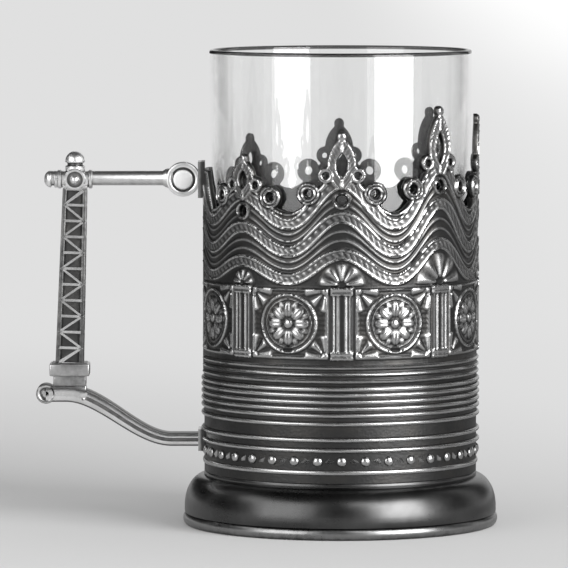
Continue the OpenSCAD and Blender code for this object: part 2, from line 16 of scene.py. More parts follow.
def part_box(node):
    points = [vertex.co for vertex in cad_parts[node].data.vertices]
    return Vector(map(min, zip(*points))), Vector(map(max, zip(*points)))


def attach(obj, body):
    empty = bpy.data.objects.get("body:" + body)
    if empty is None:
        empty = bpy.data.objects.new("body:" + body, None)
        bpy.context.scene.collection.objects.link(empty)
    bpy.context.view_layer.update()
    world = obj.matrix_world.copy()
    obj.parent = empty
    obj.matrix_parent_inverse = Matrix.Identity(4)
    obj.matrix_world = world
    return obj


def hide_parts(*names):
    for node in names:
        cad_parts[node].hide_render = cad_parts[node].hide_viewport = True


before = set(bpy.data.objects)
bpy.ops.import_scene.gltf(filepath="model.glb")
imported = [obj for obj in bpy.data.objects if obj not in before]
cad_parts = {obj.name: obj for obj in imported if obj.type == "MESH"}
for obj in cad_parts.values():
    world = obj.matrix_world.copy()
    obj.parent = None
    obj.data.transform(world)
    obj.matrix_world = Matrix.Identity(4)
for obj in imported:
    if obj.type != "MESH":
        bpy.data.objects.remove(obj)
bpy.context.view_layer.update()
MM = 0.001
print("Pieces in the frame:", len(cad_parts))

# %% [markdown]
# ## Sizes that the frame gives
# Nothing is measured twice. The boxes of the construction's pieces give the radii and
# heights that everything here hangs on, in millimetres.

# %% Read the main sizes
def box_mm(node):
    """The lowest and the highest corner of a piece of the frame."""
    lo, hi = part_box(node)
    return Vector(lo) / MM, Vector(hi) / MM


foot_hi = box_mm("foot")[1]
bead_hi = box_mm("foot_wire")[1]
casing_hi = box_mm("casing")[1]
glass_lo, glass_hi = box_mm("tea_glass")
RELIEF = 0.75
WALL = 0.85
FOOT_TOP = foot_hi.z
FOOT_R = foot_hi.x
BEAD_R = bead_hi.x
SHEET_R = casing_hi.y - RELIEF
INNER_R = SHEET_R - WALL
CREST_TOP = casing_hi.z
GLASS_R = glass_hi.x
GLASS_TOP = glass_hi.z
print("Foot radius", round(FOOT_R, 2), "sheet radius", round(SHEET_R, 2), "glass radius", round(GLASS_R, 2))

# %% [markdown]
# ## Camera
# The photograph is taken from a little above, with a long lens, so the upright lines stay
# nearly parallel. The object's axis lies to the right of the picture's middle, because the
# handle needs its room on the left. The camera therefore stands beside the axis.

# %% Place the camera
CAMERA_DISTANCE = 1359.7
CAMERA_HEIGHT = 162.0
AIM_HEIGHT = 59.65
AXIS_PIXEL = 340.5
FRAME_PIXELS = 568
LENS = 347.3
SENSOR = 36.0
SIGHT = 40


def add_object(name, data):
    """A new object in the scene."""
    made = bpy.data.objects.new(name, data)
    bpy.context.scene.collection.objects.link(made)
    return made


pixels_per_slope = LENS / SENSOR * FRAME_PIXELS
camera_x = (FRAME_PIXELS / 2 - AXIS_PIXEL) / pixels_per_slope * CAMERA_DISTANCE
camera_data = bpy.data.cameras.new("camera")
camera_data.lens = LENS
camera_data.sensor_width = SENSOR
camera_data.clip_end = SIGHT
camera = add_object("camera", camera_data)
bpy.context.scene.camera = camera
camera.location = Vector((camera_x, -CAMERA_DISTANCE, CAMERA_HEIGHT)) * MM
tilt = math.atan2(CAMERA_HEIGHT - AIM_HEIGHT, CAMERA_DISTANCE)
camera.rotation_euler = (math.pi / 2 - tilt, 0, 0)
print("Camera", round(math.degrees(tilt), 2), "degrees above the level, at x =", round(camera_x, 1))

# %% [markdown]
# ## Shader sums as Python
# A finish is a web of small nodes. Wrapped in a class that knows the signs + - * / and %,
# the web can be written as plain sums, such as `1 - worn`. Every other node comes from one
# method, which takes the node's type, its settings and its inputs.

# %% A socket that does sums
class Val:
    """One output socket of a shader, with arithmetic."""

    def __init__(self, finish, socket):
        self.finish = finish
        self.socket = socket

    def sum(self, operation, a, b=0.0):
        return self.finish.node("ShaderNodeMath", {"operation": operation}, {0: a, 1: b})

    def root(self):
        return self.sum("SQRT", self)

    def size(self):
        return self.sum("ABSOLUTE", self)

    def step(self, low, high, out_low=0.0, out_high=1.0):
        """Eases from out_low to out_high while this value goes from low to high."""
        return self.finish.node("ShaderNodeMapRange", {"interpolation_type": "SMOOTHSTEP"},
                                {0: self, 1: low, 2: high, 3: out_low, 4: out_high})


def teach_sign(sign, operation):
    """Gives Val one sign, and its reflected form, so that 1 - mask works too."""
    setattr(Val, f"__{sign}__", lambda self, other: self.sum(operation, self, other))
    setattr(Val, f"__r{sign}__", lambda self, other: self.sum(operation, other, self))


for sign, operation in (("add", "ADD"), ("sub", "SUBTRACT"), ("mul", "MULTIPLY"),
                        ("truediv", "DIVIDE"), ("mod", "FLOORED_MODULO")):
    teach_sign(sign, operation)
print("Val knows five signs")


# %% A tree of shader nodes
class Finish:
    """A material, or a world, that is being made from nodes."""

    def __init__(self, name, kept_in=bpy.data.materials):
        self.owner = kept_in.new(name)
        self.owner.use_nodes = True
        self.tree = self.owner.node_tree
        self.tree.nodes.clear()

    def node(self, kind, settings=None, inputs=None, out=0):
        made = self.tree.nodes.new(kind)
        for key, value in (settings or {}).items():
            setattr(made, key, value)
        for key, value in (inputs or {}).items():
            if isinstance(value, Val):
                self.tree.links.new(value.socket, made.inputs[key])
            else:
                made.inputs[key].default_value = value
        return Val(self, made.outputs[out])

    def place(self):
        """The point on the piece, in metres, from its own origin."""
        return self.node("ShaderNodeTexCoord", out="Object")

    def axes(self, point):
        split = self.node("ShaderNodeSeparateXYZ", inputs={0: point})
        return [Val(self, split.socket.node.outputs[i]) for i in range(3)]

    def noise(self, point, scale, detail=3.0, squeeze=None):
        """Cloudy noise from 0 to 1. Squeeze stretches it into streaks along an axis."""
        if squeeze:
            point = self.node("ShaderNodeVectorMath", {"operation": "MULTIPLY"}, {0: point, 1: squeeze})
        return self.node("ShaderNodeTexNoise", {},
                         {"Vector": point, "Scale": scale, "Detail": detail, "Roughness": 0.55})

    def blend(self, factor, a, b):
        """A colour between a and b."""
        return self.node("ShaderNodeMix", {"data_type": "RGBA"}, {0: factor, 6: a, 7: b}, out=2)

    def bump(self, height, distance, strength):
        return self.node("ShaderNodeBump", {}, {"Height": height, "Distance": distance, "Strength": strength})

    def metal(self, colour, gloss, normal):
        return self.surface(self.node("ShaderNodeBsdfPrincipled", {}, {
            "Base Color": colour, "Metallic": 1.0, "Roughness": gloss, "Normal": normal}))

    def surface(self, shader, output="ShaderNodeOutputMaterial"):
        """Ends the tree with its output and returns what was made."""
        end = self.tree.nodes.new(output)
        self.tree.links.new(shader.socket, end.inputs["Surface"])
        return self.owner


def grey(level):
    return (level, level, level, 1.0)


print("Shader helpers are ready")

# %% [markdown]
# ## The stage
# The photograph has no hard horizon: a pale table runs up into a paler background. A disc
# of floor does the same. Near the object it is matt and keeps the shadow. Its colour there
# is painted lighter towards the left and darker towards the right, painted light and shade
# with a faint random tone. Further out, and sooner on the side that the light favours, it
# turns into a glowing surface of the background's own grey, so that floor and background
# meet unseen from every side. Far out to the right the glow is painted brighter, a painted
# pool of light. In what upright metal mirrors, the glow of the near metre of the table is
# painted darker, darkest behind the object, a painted shade that shows only in
# reflections, and the glass mirrors what lies beyond it.

# %% Floor and background
BACKGROUND = 0.745
SKY = 0.5
TABLE = 0.59
TABLE_LIT = 1.09
TABLE_SHADED = 0.92
TABLE_MIRRORED = 0.215
DARKER_BEHIND = {-0.72: 0.2, 0.72: 0.08}
PAINTED_LIGHT_CORNER = 0.27
FLOOR_R = 9000
FLOOR_GAP = 0.02


def stage_finish():
    f = Finish("table")
    x, y, z = f.axes(f.place())
    reach = (x * x + y * y).root()
    towards_light = (x * 0.87 + y * 0.49).step(-0.09, 0.24, 0.0, 0.9)
    away = 1 - (1 - towards_light) * (1 - reach.step(0.12, 0.7))
    # Painted light and shade: the matt colour is lighter towards the left and darker towards the right, with
    # a faint random tone.
    light_shade_and_tone = x.step(-0.15, 0.1) * 0.8 + f.noise(f.place(), 900.0) * 0.2
    colour = f.blend(light_shade_and_tone, grey(TABLE * TABLE_LIT), grey(TABLE * TABLE_SHADED))
    matt = f.node("ShaderNodeBsdfDiffuse", {}, {"Color": colour})
    # Painted pool of light: far out to the right the glow is brighter.
    corner = x.step(0.03, 0.32, 0.0, PAINTED_LIGHT_CORNER) * reach.step(1.5, 4.0, 0.6)
    corner = corner * reach.step(6.9, 8.8, 1.0, 0.0)
    in_metal = f.node("ShaderNodeLightPath", out="Is Glossy Ray")
    through_glass = f.node("ShaderNodeLightPath", out="Is Transmission Ray")
    # Painted shade in reflections: for rays that the metal mirrors, the near table glows darker, darkest
    # behind the object.
    darker = BACKGROUND - TABLE_MIRRORED
    for side, amount in DARKER_BEHIND.items():
        darker = darker + ((x * side + y * 0.69) / reach).step(0.7, 0.93, 0.0, amount)
    shade_in_reflections = in_metal * (1 - through_glass) * reach.step(0.9, 1.15, 1.0, 0.0) * darker
    glow = f.node("ShaderNodeEmission", {}, {"Color": grey(1.0), "Strength": corner + BACKGROUND - shade_in_reflections})
    return f.surface(f.node("ShaderNodeMixShader", {}, {0: away, 1: matt, 2: glow}))


floor_mesh = bpy.data.meshes.new("floor")
floor_build = bmesh.new()
bmesh.ops.create_circle(floor_build, cap_ends=True, segments=128, radius=FLOOR_R * MM)
bmesh.ops.translate(floor_build, verts=floor_build.verts, vec=(0, 0, -FLOOR_GAP * MM))
floor_build.to_mesh(floor_mesh)
floor_build.free()
floor = add_object("floor", floor_mesh)
floor_mesh.materials.append(stage_finish())
print("Floor radius in m:", FLOOR_R * MM)

# %% The world around
studio = Finish("studio", bpy.data.worlds)
by_camera, by_metal, by_glass = [studio.node("ShaderNodeLightPath", out=f"Is {kind} Ray")
                                 for kind in ("Camera", "Glossy", "Transmission")]
seen = studio.node("ShaderNodeMath", {"operation": "MAXIMUM"}, {0: by_camera, 1: by_metal})
seen = studio.node("ShaderNodeMath", {"operation": "MAXIMUM"}, {0: seen, 1: by_glass})
level = studio.node("ShaderNodeMapRange", {}, {0: seen, 3: SKY, 4: BACKGROUND})
sky = studio.node("ShaderNodeBackground", {}, {"Color": grey(1.0), "Strength": level})
bpy.context.scene.world = studio.surface(sky, "ShaderNodeOutputWorld")
bpy.context.scene.view_settings.view_transform = "Standard"
print("Background level", BACKGROUND)

# %% [markdown]
# ## Light
# Two tall soft boxes stand in front, one on either side of the camera. A polished
# cylinder shows each of them as one upright stripe, and those two stripes are what makes
# the glass visible in front of a pale background. Dark cards between and beside the boxes
# give the metal something dark to mirror, and a dark ceiling draws the glass's rim as a
# thin dark line. They only show in reflections, so they stay out of every picture and throw
# no shadow. Two small dim boxes hang higher. The upright glass can't mirror them, but the
# rounded reeds and the foot can, and their bright patches grow wider.
#
# Each box is given by its azimuth in degrees, the height of its middle, its width, its
# height and its glow. Each card is given by two azimuths and the height of its foot.

# %% Soft boxes
BOX_DISTANCE = 950
BOX_MIDDLE = 330
AIM_SHARE = 0.6
BOXES = {"box_right": (47, BOX_MIDDLE, 640, 800, 9.0), "box_left": (-44, BOX_MIDDLE, 640, 800, 2.9),
         "box_high_right": (16, 700, 260, 300, 3.2), "box_high_left": (-77, 640, 420, 400, 1.6)}


def around(azimuth, distance, height):
    """A place round the object, in metres. Azimuth 0 is in front of it."""
    a = math.radians(azimuth)
    return Vector((math.sin(a) * distance, -math.cos(a) * distance, height)) * MM


for box_name, (azimuth, box_middle, box_width, box_height, glow) in BOXES.items():
    box_light = bpy.data.lights.new(box_name, "AREA")
    box_light.shape = "RECTANGLE"
    box_light.size = box_width * MM
    box_light.size_y = box_height * MM
    box_light.energy = glow * math.pi * box_light.size * box_light.size_y
    box_object = add_object(box_name, box_light)
    box_object.location = around(azimuth, BOX_DISTANCE, box_middle)
    aim = Vector((0, 0, BOX_MIDDLE * AIM_SHARE)) * MM
    box_object.rotation_euler = (aim - box_object.location).to_track_quat("-Z", "Y").to_euler()
    print(box_name, "gives", round(box_light.energy, 2), "W")

# %% Dark cards
CARD_DISTANCE = 1000
CARD_TOP = 900
CARD_STRIPS = 8
CEILING_HEIGHT = 1500
CARDS = {"card_middle": (-19, 20, 70), "card_right": (74, 112, 70), "card_left": (-112, -70, 70),
         "card_back_left": (-168, -116, 90), "card_back_right": (128, 150, 90)}


def card_finish():
    f = Finish("dark_card")
    colour = f.blend(f.noise(f.place(), 60.0), grey(0.02), grey(0.05))
    return f.surface(f.node("ShaderNodeBsdfDiffuse", {}, {"Color": colour}))


card_material = card_finish()


def hang_card(name, corners, faces, through_glass):
    mesh = bpy.data.meshes.new(name)
    mesh.from_pydata(corners, [], faces)
    mesh.materials.append(card_material)
    card = add_object(name, mesh)
    card.visible_camera = False
    card.visible_diffuse = False
    card.visible_transmission = through_glass
    card.visible_shadow = False


strips = [(2 * i, 2 * i + 2, 2 * i + 3, 2 * i + 1) for i in range(CARD_STRIPS)]
for card_name, (first, last, card_foot) in CARDS.items():
    corners = [around(azimuth, CARD_DISTANCE, height)
               for azimuth in np.linspace(first, last, CARD_STRIPS + 1) for height in (card_foot, CARD_TOP)]
    hang_card(card_name, corners, strips, False)
half_w = CEILING_HEIGHT * MM
hang_card("ceiling", [(x * half_w, y * half_w, half_w) for x, y in ((-1, -1), (1, -1), (1, 1), (-1, 1))],
          [(3, 2, 1, 0)], True)
print("Dark cards:", len(CARDS) + 1)

# %% [markdown]
# ## Making a piece
# Every piece in this lesson ends the same way: points and faces become a mesh, each point
# may carry a number that says how far it stands out from its surroundings, the mesh gets a
# finish, and the piece is tied to the body that it moves with. That number is called
# `raised`. On real silver, polishing keeps the raised lines bright while the hollows go
# dark, so the finishes read it later.

# %% A helper that makes pieces
def add_piece(name, points, faces, finish, raised, sharp, replaces=(), body="holder"):
    """Makes a smooth-shaded piece from points in millimetres."""
    mesh = bpy.data.meshes.new(name)
    mesh.from_pydata(np.asarray(points, dtype=float) * MM, [], faces)
    if raised is not None:
        layer = mesh.attributes.new("raised", "FLOAT", "POINT")
        layer.data.foreach_set("value", np.asarray(raised, dtype=np.float32))
    mesh.validate()
    mesh.shade_smooth()
    mesh.set_sharp_from_angle(angle=math.radians(sharp))
    mesh.materials.append(finish)
    piece = add_object(name, mesh)
    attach(piece, body)
    if replaces:
        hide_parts(*replaces)
    return piece


def tidy_normals(piece):
    """Merges doubled points and turns every face outwards."""
    build = bmesh.new()
    build.from_mesh(piece.data)
    bmesh.ops.remove_doubles(build, verts=build.verts, dist=0.001 * MM)
    bmesh.ops.recalc_face_normals(build, faces=build.faces)
    build.to_mesh(piece.data)
    build.free()


# %% [markdown]
# ## Antiqued silver
# The holder's casing is silver-plated and then darkened on purpose. The dark film stays in
# the hollows and is rubbed off the raised work, so one mask drives both the colour and the
# gloss: bright and smooth on top, nearly black and dull below.

# %% Finish for the metal
WARM_FILM = (0.10, 0.092, 0.082, 1.0)
PIT_DEPTH = 0.06


def raised_mask(f, p):
    return f.node("ShaderNodeAttribute", {"attribute_name": "raised"}, out="Fac")


def antiqued(name, low, high, rough_low, rough_high, source=raised_mask, grain=0.3):
    """Darkened silver. The mask goes from 0 in the hollows to 1 on the raised work."""
    f = Finish(name)
    p = f.place()
    raised = source(f, p)
    cloud = f.noise(p, 130.0, 4.0)
    speck = f.noise(p, 900.0, 2.0)
    worn = (raised + (cloud - 0.5) * 0.35 + (speck - 0.5) * 0.2).step(0.12, 0.85)
    colour = f.blend(worn, grey(low), grey(high))
    warm = f.blend((cloud - 0.42).step(0.0, 0.3, 0.0, 0.25), colour, WARM_FILM)
    gloss = worn.step(0.0, 1.0, rough_low, rough_high) + (speck - 0.5) * 0.08
    pits = f.node("ShaderNodeTexVoronoi", {"feature": "F1"}, {"Vector": p, "Scale": 1500.0}, out="Distance")
    grainy = pits * (1 - worn) * grain + f.noise(p, 3200.0, 2.0) * 0.25
    return f.metal(warm, gloss, f.bump(grainy, PIT_DEPTH * MM, 0.55))


chased_silver = antiqued("chased_silver", 0.045, 0.44, 0.42, 0.26, grain=1.0)
print("Finish:", chased_silver.name)

# %% [markdown]
# ## The shape of the crest
# Seven pierced lobes and a plain tab for the handle stand on the casing, one every 45
# degrees. Each lobe is a swept-up rim with four scrolls and a pointed leaf on it. A signed
# distance says, for any point of the unrolled casing, how far it lies inside the metal.
# Joining shapes is then a maximum, piercing is a minimum, and a soft maximum leaves the
# small fillets that a cast piece has.

# %% Sizes of the crest
LOBES = 8
LOBE_ANGLE = 360 / LOBES
HALF_CHORD = SHEET_R * math.sin(math.radians(LOBE_ANGLE / 2))
CREST_H = 29.0
CREST_FOOT = CREST_TOP - CREST_H
TAB_H = 12.4
TAB_HALF_W = 8.6
VALLEY_H = 3.4
FINIAL_SHARES = [0.6, 0.8, 1, 0.9, 0.82, 0.7, 0.6]
TAB_WAVE_SHARE = 0.7
LOBE_HEIGHTS = CREST_H * np.array([TAB_WAVE_SHARE] + FINIAL_SHARES)
HUMP_SHARE = 0.58
RIBBON_DROP = 2.9
RIBBON_PITCH = 6.7
RIBBON_SHARES = (1.0, 0.85, 0.62)
SCROLLS = {"outer": {"side": 0.63, "r": 2.9, "eye": 1.05}, "inner": {"side": 0.3, "r": 2.1, "eye": 0.7}}
SCROLL_STAND = 0.55
LEAF_W = 7.4
LEAF_ROOT = 0.34
LEAF_RIM = 2.5
SLOT_SHARE = 0.42
HUMP_EYE = 1.3
TIP_R = 1.3
print("Half a lobe is", round(HALF_CHORD, 2), "mm wide")


# %% Distances in the unrolled casing
def soft_max(a, b, reach=0.4):
    return np.maximum(a, b) + np.maximum(reach - np.abs(a - b), 0) ** 2 / (4 * reach)


def leaf_shape(x, z, foot, width, height):
    r = (height ** 2 + width ** 2) / (4 * width)
    up = z - foot - height / 2
    return r - np.hypot(np.abs(x) + r - width / 2, up)


def lobe_place(phi):
    """Which lobe an angle belongs to, and the angle from that lobe's middle."""
    lobe = np.rint((phi + 90) / LOBE_ANGLE).astype(int)
    return lobe % LOBES, phi + 90 - lobe * LOBE_ANGLE


def rim_line(s, height):
    """Height and slope of the swept-up rim, for s from -1 to 1 across the lobe."""
    rise = height * HUMP_SHARE - VALLEY_H
    return VALLEY_H + rise * np.cos(np.pi / 2 * s) ** 2, -rise * np.sin(np.pi * s) * np.pi / 2 / HALF_CHORD


def lobe_parts(phi, z):
    """The lobe's shapes as distances, positive inside the metal."""
    lobe, local = lobe_place(phi)
    height = LOBE_HEIGHTS[lobe]
    x = SHEET_R * np.sin(np.radians(local))
    up = z - CREST_FOOT
    rim, slope = rim_line(x / HALF_CHORD, height)
    parts = {"lobe": lobe, "x": x, "up": up, "height": height, "local": local}
    parts["rim"] = (rim - up) / np.sqrt(1 + slope ** 2)
    for key, scroll in SCROLLS.items():
        stand = rim_line(scroll["side"], height)[0] + scroll["r"] * SCROLL_STAND
        parts[key] = np.hypot(np.abs(x) - scroll["side"] * HALF_CHORD, up - stand)
    foot = height * LEAF_ROOT
    leaf_h = height - foot - TIP_R
    parts["leaf"] = leaf_shape(x, up, foot, LEAF_W, leaf_h)
    parts["slot"] = leaf_shape(x, up, foot + leaf_h / 2 - leaf_h * SLOT_SHARE / 2, LEAF_W - 2 * LEAF_RIM,
                               leaf_h * SLOT_SHARE)
    parts["tip"] = TIP_R - np.hypot(x, up - height + TIP_R)
    rise = height * HUMP_SHARE - VALLEY_H
    between = VALLEY_H - RIBBON_DROP - RIBBON_PITCH / 2 + rise * (1 + RIBBON_SHARES[1]) / 2
    parts["hump_eye"] = np.hypot(x, up - between)
    return parts


def outline_distance(phi, z):
    """How far a point lies inside the pierced metal."""
    p = lobe_parts(phi, z)
    metal = p["rim"]
    for key, scroll in SCROLLS.items():
        metal = soft_max(metal, scroll["r"] - p[key])
    metal = soft_max(metal, soft_max(p["leaf"], p["tip"]))
    for key, scroll in SCROLLS.items():
        metal = np.minimum(metal, p[key] - scroll["eye"])
    metal = np.minimum(metal, np.minimum(p["hump_eye"] - HUMP_EYE, -p["slot"]))
    run = np.hypot(HALF_CHORD - TAB_HALF_W, TAB_H - VALLEY_H)
    side = ((HALF_CHORD - np.abs(p["x"])) * (TAB_H - VALLEY_H)
            - (p["up"] - VALLEY_H) * (HALF_CHORD - TAB_HALF_W)) / run
    tab = np.minimum(TAB_H - p["up"], side)
    return np.where(p["lobe"] == 0, tab, metal)


# %% [markdown]
# ## The relief
# The chasing is a height map: for each point of the unrolled casing it gives how far the
# metal stands out. Rounded ridges, flat bands and petals are all written as small
# functions of a distance, and the highest of them wins. Below the crest run ribbons that
# follow the crest's own waves. Under them is a row of rosette panels between reeded
# pilasters, a traditional layout that repeats round the casing.

# %% Building blocks of the relief
def ease(t):
    t = np.clip(t, 0, 1)
    return t * t * (3 - 2 * t)


def ridge(t, half):
    """A rounded ridge, 1 on its line and 0 at half its width."""
    return 0.5 + 0.5 * np.cos(np.pi * np.clip(t / half, -1, 1))


def band(t, half, edge=0.35):
    """A flat band with eased edges."""
    return ease((half - np.abs(t)) / edge + 0.5)


def bead(t):
    """A dome over t from 0 to 1."""
    return np.sqrt(np.clip(1 - t, 0, 1))


def highest(shapes):
    return np.max(shapes, axis=0)


# %% Wave ribbons under the crest
RIBBONS = [(RIBBON_DROP + RIBBON_PITCH * i, share) for i, share in enumerate(RIBBON_SHARES)]
RIBBON_HALF = 1.45
RIBBON_FLAT = 0.22
RIBBON_ROLL = 0.36
CORD_PITCH = 1.5
CORD_LIFT = 0.17
FINE_LINES = [(5.4, 0.94), (7.1, 0.91), (12.1, 0.76), (13.8, 0.71)]
FINE_LIFT = 0.3


def waves(p, phi):
    """Raised ribbons with rolled edges and a corded middle, and fine lines between them."""
    along = np.radians(phi) * SHEET_R
    rise = p["height"] * HUMP_SHARE - VALLEY_H
    s = p["x"] / HALF_CHORD
    swell = np.cos(np.pi / 2 * s) ** 2
    lean = rise * np.sin(np.pi * s) * np.pi / 2 / HALF_CHORD

    def across(below, share):
        """The distance from one wave line, at a right angle to it."""
        return (p["up"] - (VALLEY_H - below + rise * share * swell)) / np.sqrt(1 + (lean * share) ** 2)

    shapes = [FINE_LIFT * ridge(across(*line), 0.5) for line in FINE_LINES]
    for line in RIBBONS:
        t = across(*line)
        cord = 0.5 + 0.5 * np.cos(2 * np.pi * (along + t * 0.8) / CORD_PITCH)
        rolls = RIBBON_ROLL * ridge(np.abs(t) - RIBBON_HALF + 0.35, 0.42)
        shapes.append(RIBBON_FLAT * band(t, RIBBON_HALF) + rolls + CORD_LIFT * cord * band(t, 0.55, 0.3))
    return highest(shapes)


# %% Leaves, scrolls and eyelets
VEIN_PITCH = 1.5
BORDER_LIFT = 0.5


def crest_relief(p, inside):
    """Veined leaves, rolled scrolls, eyelets and the raised border of the crest."""
    leaf_veins = ridge(np.mod(p["up"] - np.abs(p["x"]) * 1.3, VEIN_PITCH) - VEIN_PITCH / 2, 0.5)
    on_lobe = p["lobe"] > 0
    leaf_on = on_lobe * ease(p["leaf"] / 0.3 + 0.5) * ease((p["hump_eye"] - HUMP_EYE - 1.2) / 0.4)
    shapes = [leaf_on * (0.3 + 0.16 * leaf_veins + 0.25 * ridge(p["x"], 0.45)),
              leaf_on * 0.6 * ridge(p["leaf"] - 0.5, 0.5),
              on_lobe * 0.7 * bead((TIP_R - p["tip"]) ** 2 / TIP_R ** 2),
              on_lobe * 0.68 * ridge(p["hump_eye"] - HUMP_EYE - 0.5, 0.55),
              BORDER_LIFT * ridge(inside - 0.5, 0.5) * (p["up"] > VALLEY_H - 1)]
    for key, scroll in SCROLLS.items():
        shapes.append(on_lobe * 0.6 * ridge(p[key] - scroll["r"] + 0.5, 0.5))
        shapes.append(on_lobe * 0.5 * ridge(p[key] - scroll["eye"] - 0.4, 0.4))
    return highest(shapes), leaf_on * (p["leaf"] > 0.1)


# %% Panels and pilasters
PANEL_FOOT = 43.6
PANEL_TOP = 61.2
PANEL_HALF_W = 10.2
PILASTER_HALF_W = 2.55
BLOCK_HALF_H = 0.95
ROSETTE_R = 7.0
PETALS = 8
PETAL_ROWS = ((0, 3.4, 2.0, 1.3, 0.68), (0.5, 4.6, 1.1, 0.75, 0.45))
CORNER_FAN_R = 5.2
RIB_PITCH = 1.2
PALMETTE_GAP = 0.6


def rosette(u, v):
    """A ringed rosette with two rows of petals."""
    reach = np.hypot(u, v)
    turn = np.arctan2(v, u)
    shapes = [0.55 * ridge(reach - ROSETTE_R, 0.6), 0.3 * ridge(reach - ROSETTE_R + 1.15, 0.4),
              0.75 * bead((reach / 1.25) ** 2)]
    step = 2 * np.pi / PETALS
    for shift, middle, length, width, lift in PETAL_ROWS:
        off = np.mod(turn - shift * step + step / 2, step) - step / 2
        along = reach * np.cos(off)
        side = reach * np.sin(off)
        petal = lift * bead(((along - middle) / length) ** 2 + (side / width) ** 2)
        shapes.append(petal * (1 - 0.35 * ridge(side, 0.32)))
    return highest(shapes)


def panels(phi, z):
    """Rosette panels centred under the crest's valleys."""
    from_valley = np.mod(phi + 90, LOBE_ANGLE) - LOBE_ANGLE / 2
    u = np.radians(from_valley) * SHEET_R
    v = z - (PANEL_FOOT + PANEL_TOP) / 2
    half_h = (PANEL_TOP - PANEL_FOOT) / 2
    frame_edge = np.maximum(np.abs(u) - PANEL_HALF_W + 0.5, np.abs(v) - half_h + 0.5)
    edging = 0.5 * ridge(frame_edge, 0.5) * (np.abs(u) < PANEL_HALF_W + 0.3) * (np.abs(v) < half_h + 0.3)
    corner_u = PANEL_HALF_W - 1 - np.abs(u)
    corner_v = half_h - 1 - np.abs(v)
    corner = np.hypot(corner_u, corner_v)
    fan = 0.5 + 0.5 * np.cos(8 * np.arctan2(corner_v, corner_u))
    spray = 0.5 * fan * ease((CORNER_FAN_R - corner) / 0.6) * ease((corner - 0.7) / 0.5)
    spray = spray * ease((np.hypot(u, v) - ROSETTE_R - 0.7) / 0.4)
    ribs = 0.12 * (0.5 + 0.5 * np.cos(2 * np.pi * v / RIB_PITCH))
    field = highest([rosette(u, v), spray, 0.55 * bead((corner / 0.8) ** 2), ribs])
    return np.maximum(edging, (frame_edge < 0) * field)


def pilasters(p, z):
    """Reeded pilasters under the lobes, each with a base, a capital and a palmette."""
    u = np.radians(p["local"]) * SHEET_R
    on = (z > PANEL_FOOT - 0.3) & (z < PANEL_TOP + 0.3)
    shapes = [on * 0.16 * band(u, PILASTER_HALF_W, 0.3)]
    for line in (0.95, 2.05):
        shapes.append(on * 0.55 * ridge(np.abs(u) - line, 0.55))
    for middle in (PANEL_FOOT + BLOCK_HALF_H, PANEL_TOP - BLOCK_HALF_H):
        block = band(z - middle, BLOCK_HALF_H) * band(u, PILASTER_HALF_W + 0.25)
        shapes.append(block * (0.62 - 0.25 * ridge(z - middle, 0.3)))
    rise = (p["height"] * HUMP_SHARE - VALLEY_H) * RIBBONS[2][1]
    fan_r = rise + CREST_FOOT + VALLEY_H - RIBBONS[2][0] - RIBBON_HALF - PANEL_TOP - 2 * PALMETTE_GAP
    up = z - PANEL_TOP - PALMETTE_GAP
    reach = np.hypot(u, up) / fan_r
    rays = 0.35 + 0.65 * (0.5 + 0.5 * np.cos(9 * (np.arctan2(up, u) - np.pi / 2)))
    fan = 0.6 * rays * bead(reach ** 4) * ease((reach - 0.12) / 0.15) * (up > 0)
    return highest(shapes + [fan])


# %% The whole height map
LOW_MOULDINGS = (38.46, 40.11, 41.76)
GROUND = 0.07
SEAM_HALF_W = 3.9


def relief_height(phi, z):
    """How far the metal stands out from the plain sheet, in millimetres."""
    p = lobe_parts(phi, z)
    inside = outline_distance(phi, z)
    figure, leaf_on = crest_relief(p, inside)
    ribbons = waves(p, phi) * (1 - leaf_on)
    eyelet_room = ease((p["hump_eye"] - HUMP_EYE - 0.9) / 0.5)
    scroll_room = 1.0
    for key, scroll in SCROLLS.items():
        scroll_room = scroll_room * ease((p[key] - scroll["r"]) / 0.4)
    free = np.where(p["lobe"] == 0, 1.0, eyelet_room * scroll_room)
    shapes = [figure, ribbons * free, panels(phi, z), pilasters(p, z)]
    shapes += [0.6 * ridge(z - line, 0.72) for line in LOW_MOULDINGS]
    on_seam = (p["lobe"] == 0) & (np.abs(p["x"]) < SEAM_HALF_W)
    out = np.where(on_seam, 0.25 * ridge(p["x"], 0.4), highest(shapes))
    hand = 0.02 * np.sin(phi * 0.61 + z * 0.37) * np.sin(z * 0.53 - phi * 0.23)
    out = GROUND + out + hand
    return np.clip(out * ease(inside / 0.35 + 0.1), 0.0, RELIEF)


# %% [markdown]
# ## From map to metal
# A fine grid is laid over the unrolled casing. Cells outside the crest's outline are left
# away, and the points along the cut are pulled onto the outline, so the edge is smooth
# instead of stepped. The outer points are pushed out by the height map, the inner ones lie
# on the bore that the glass stands in, and walls close the cut edges. The ring is made in
# four quarters to keep each mesh light.

# %% Grid over the casing
GRID_COLUMNS = 720
GRID_STEP = 0.3
SKIRT_TOP = 37.6
grid_rows = int(round((CREST_TOP + 0.1 - SKIRT_TOP) / GRID_STEP))


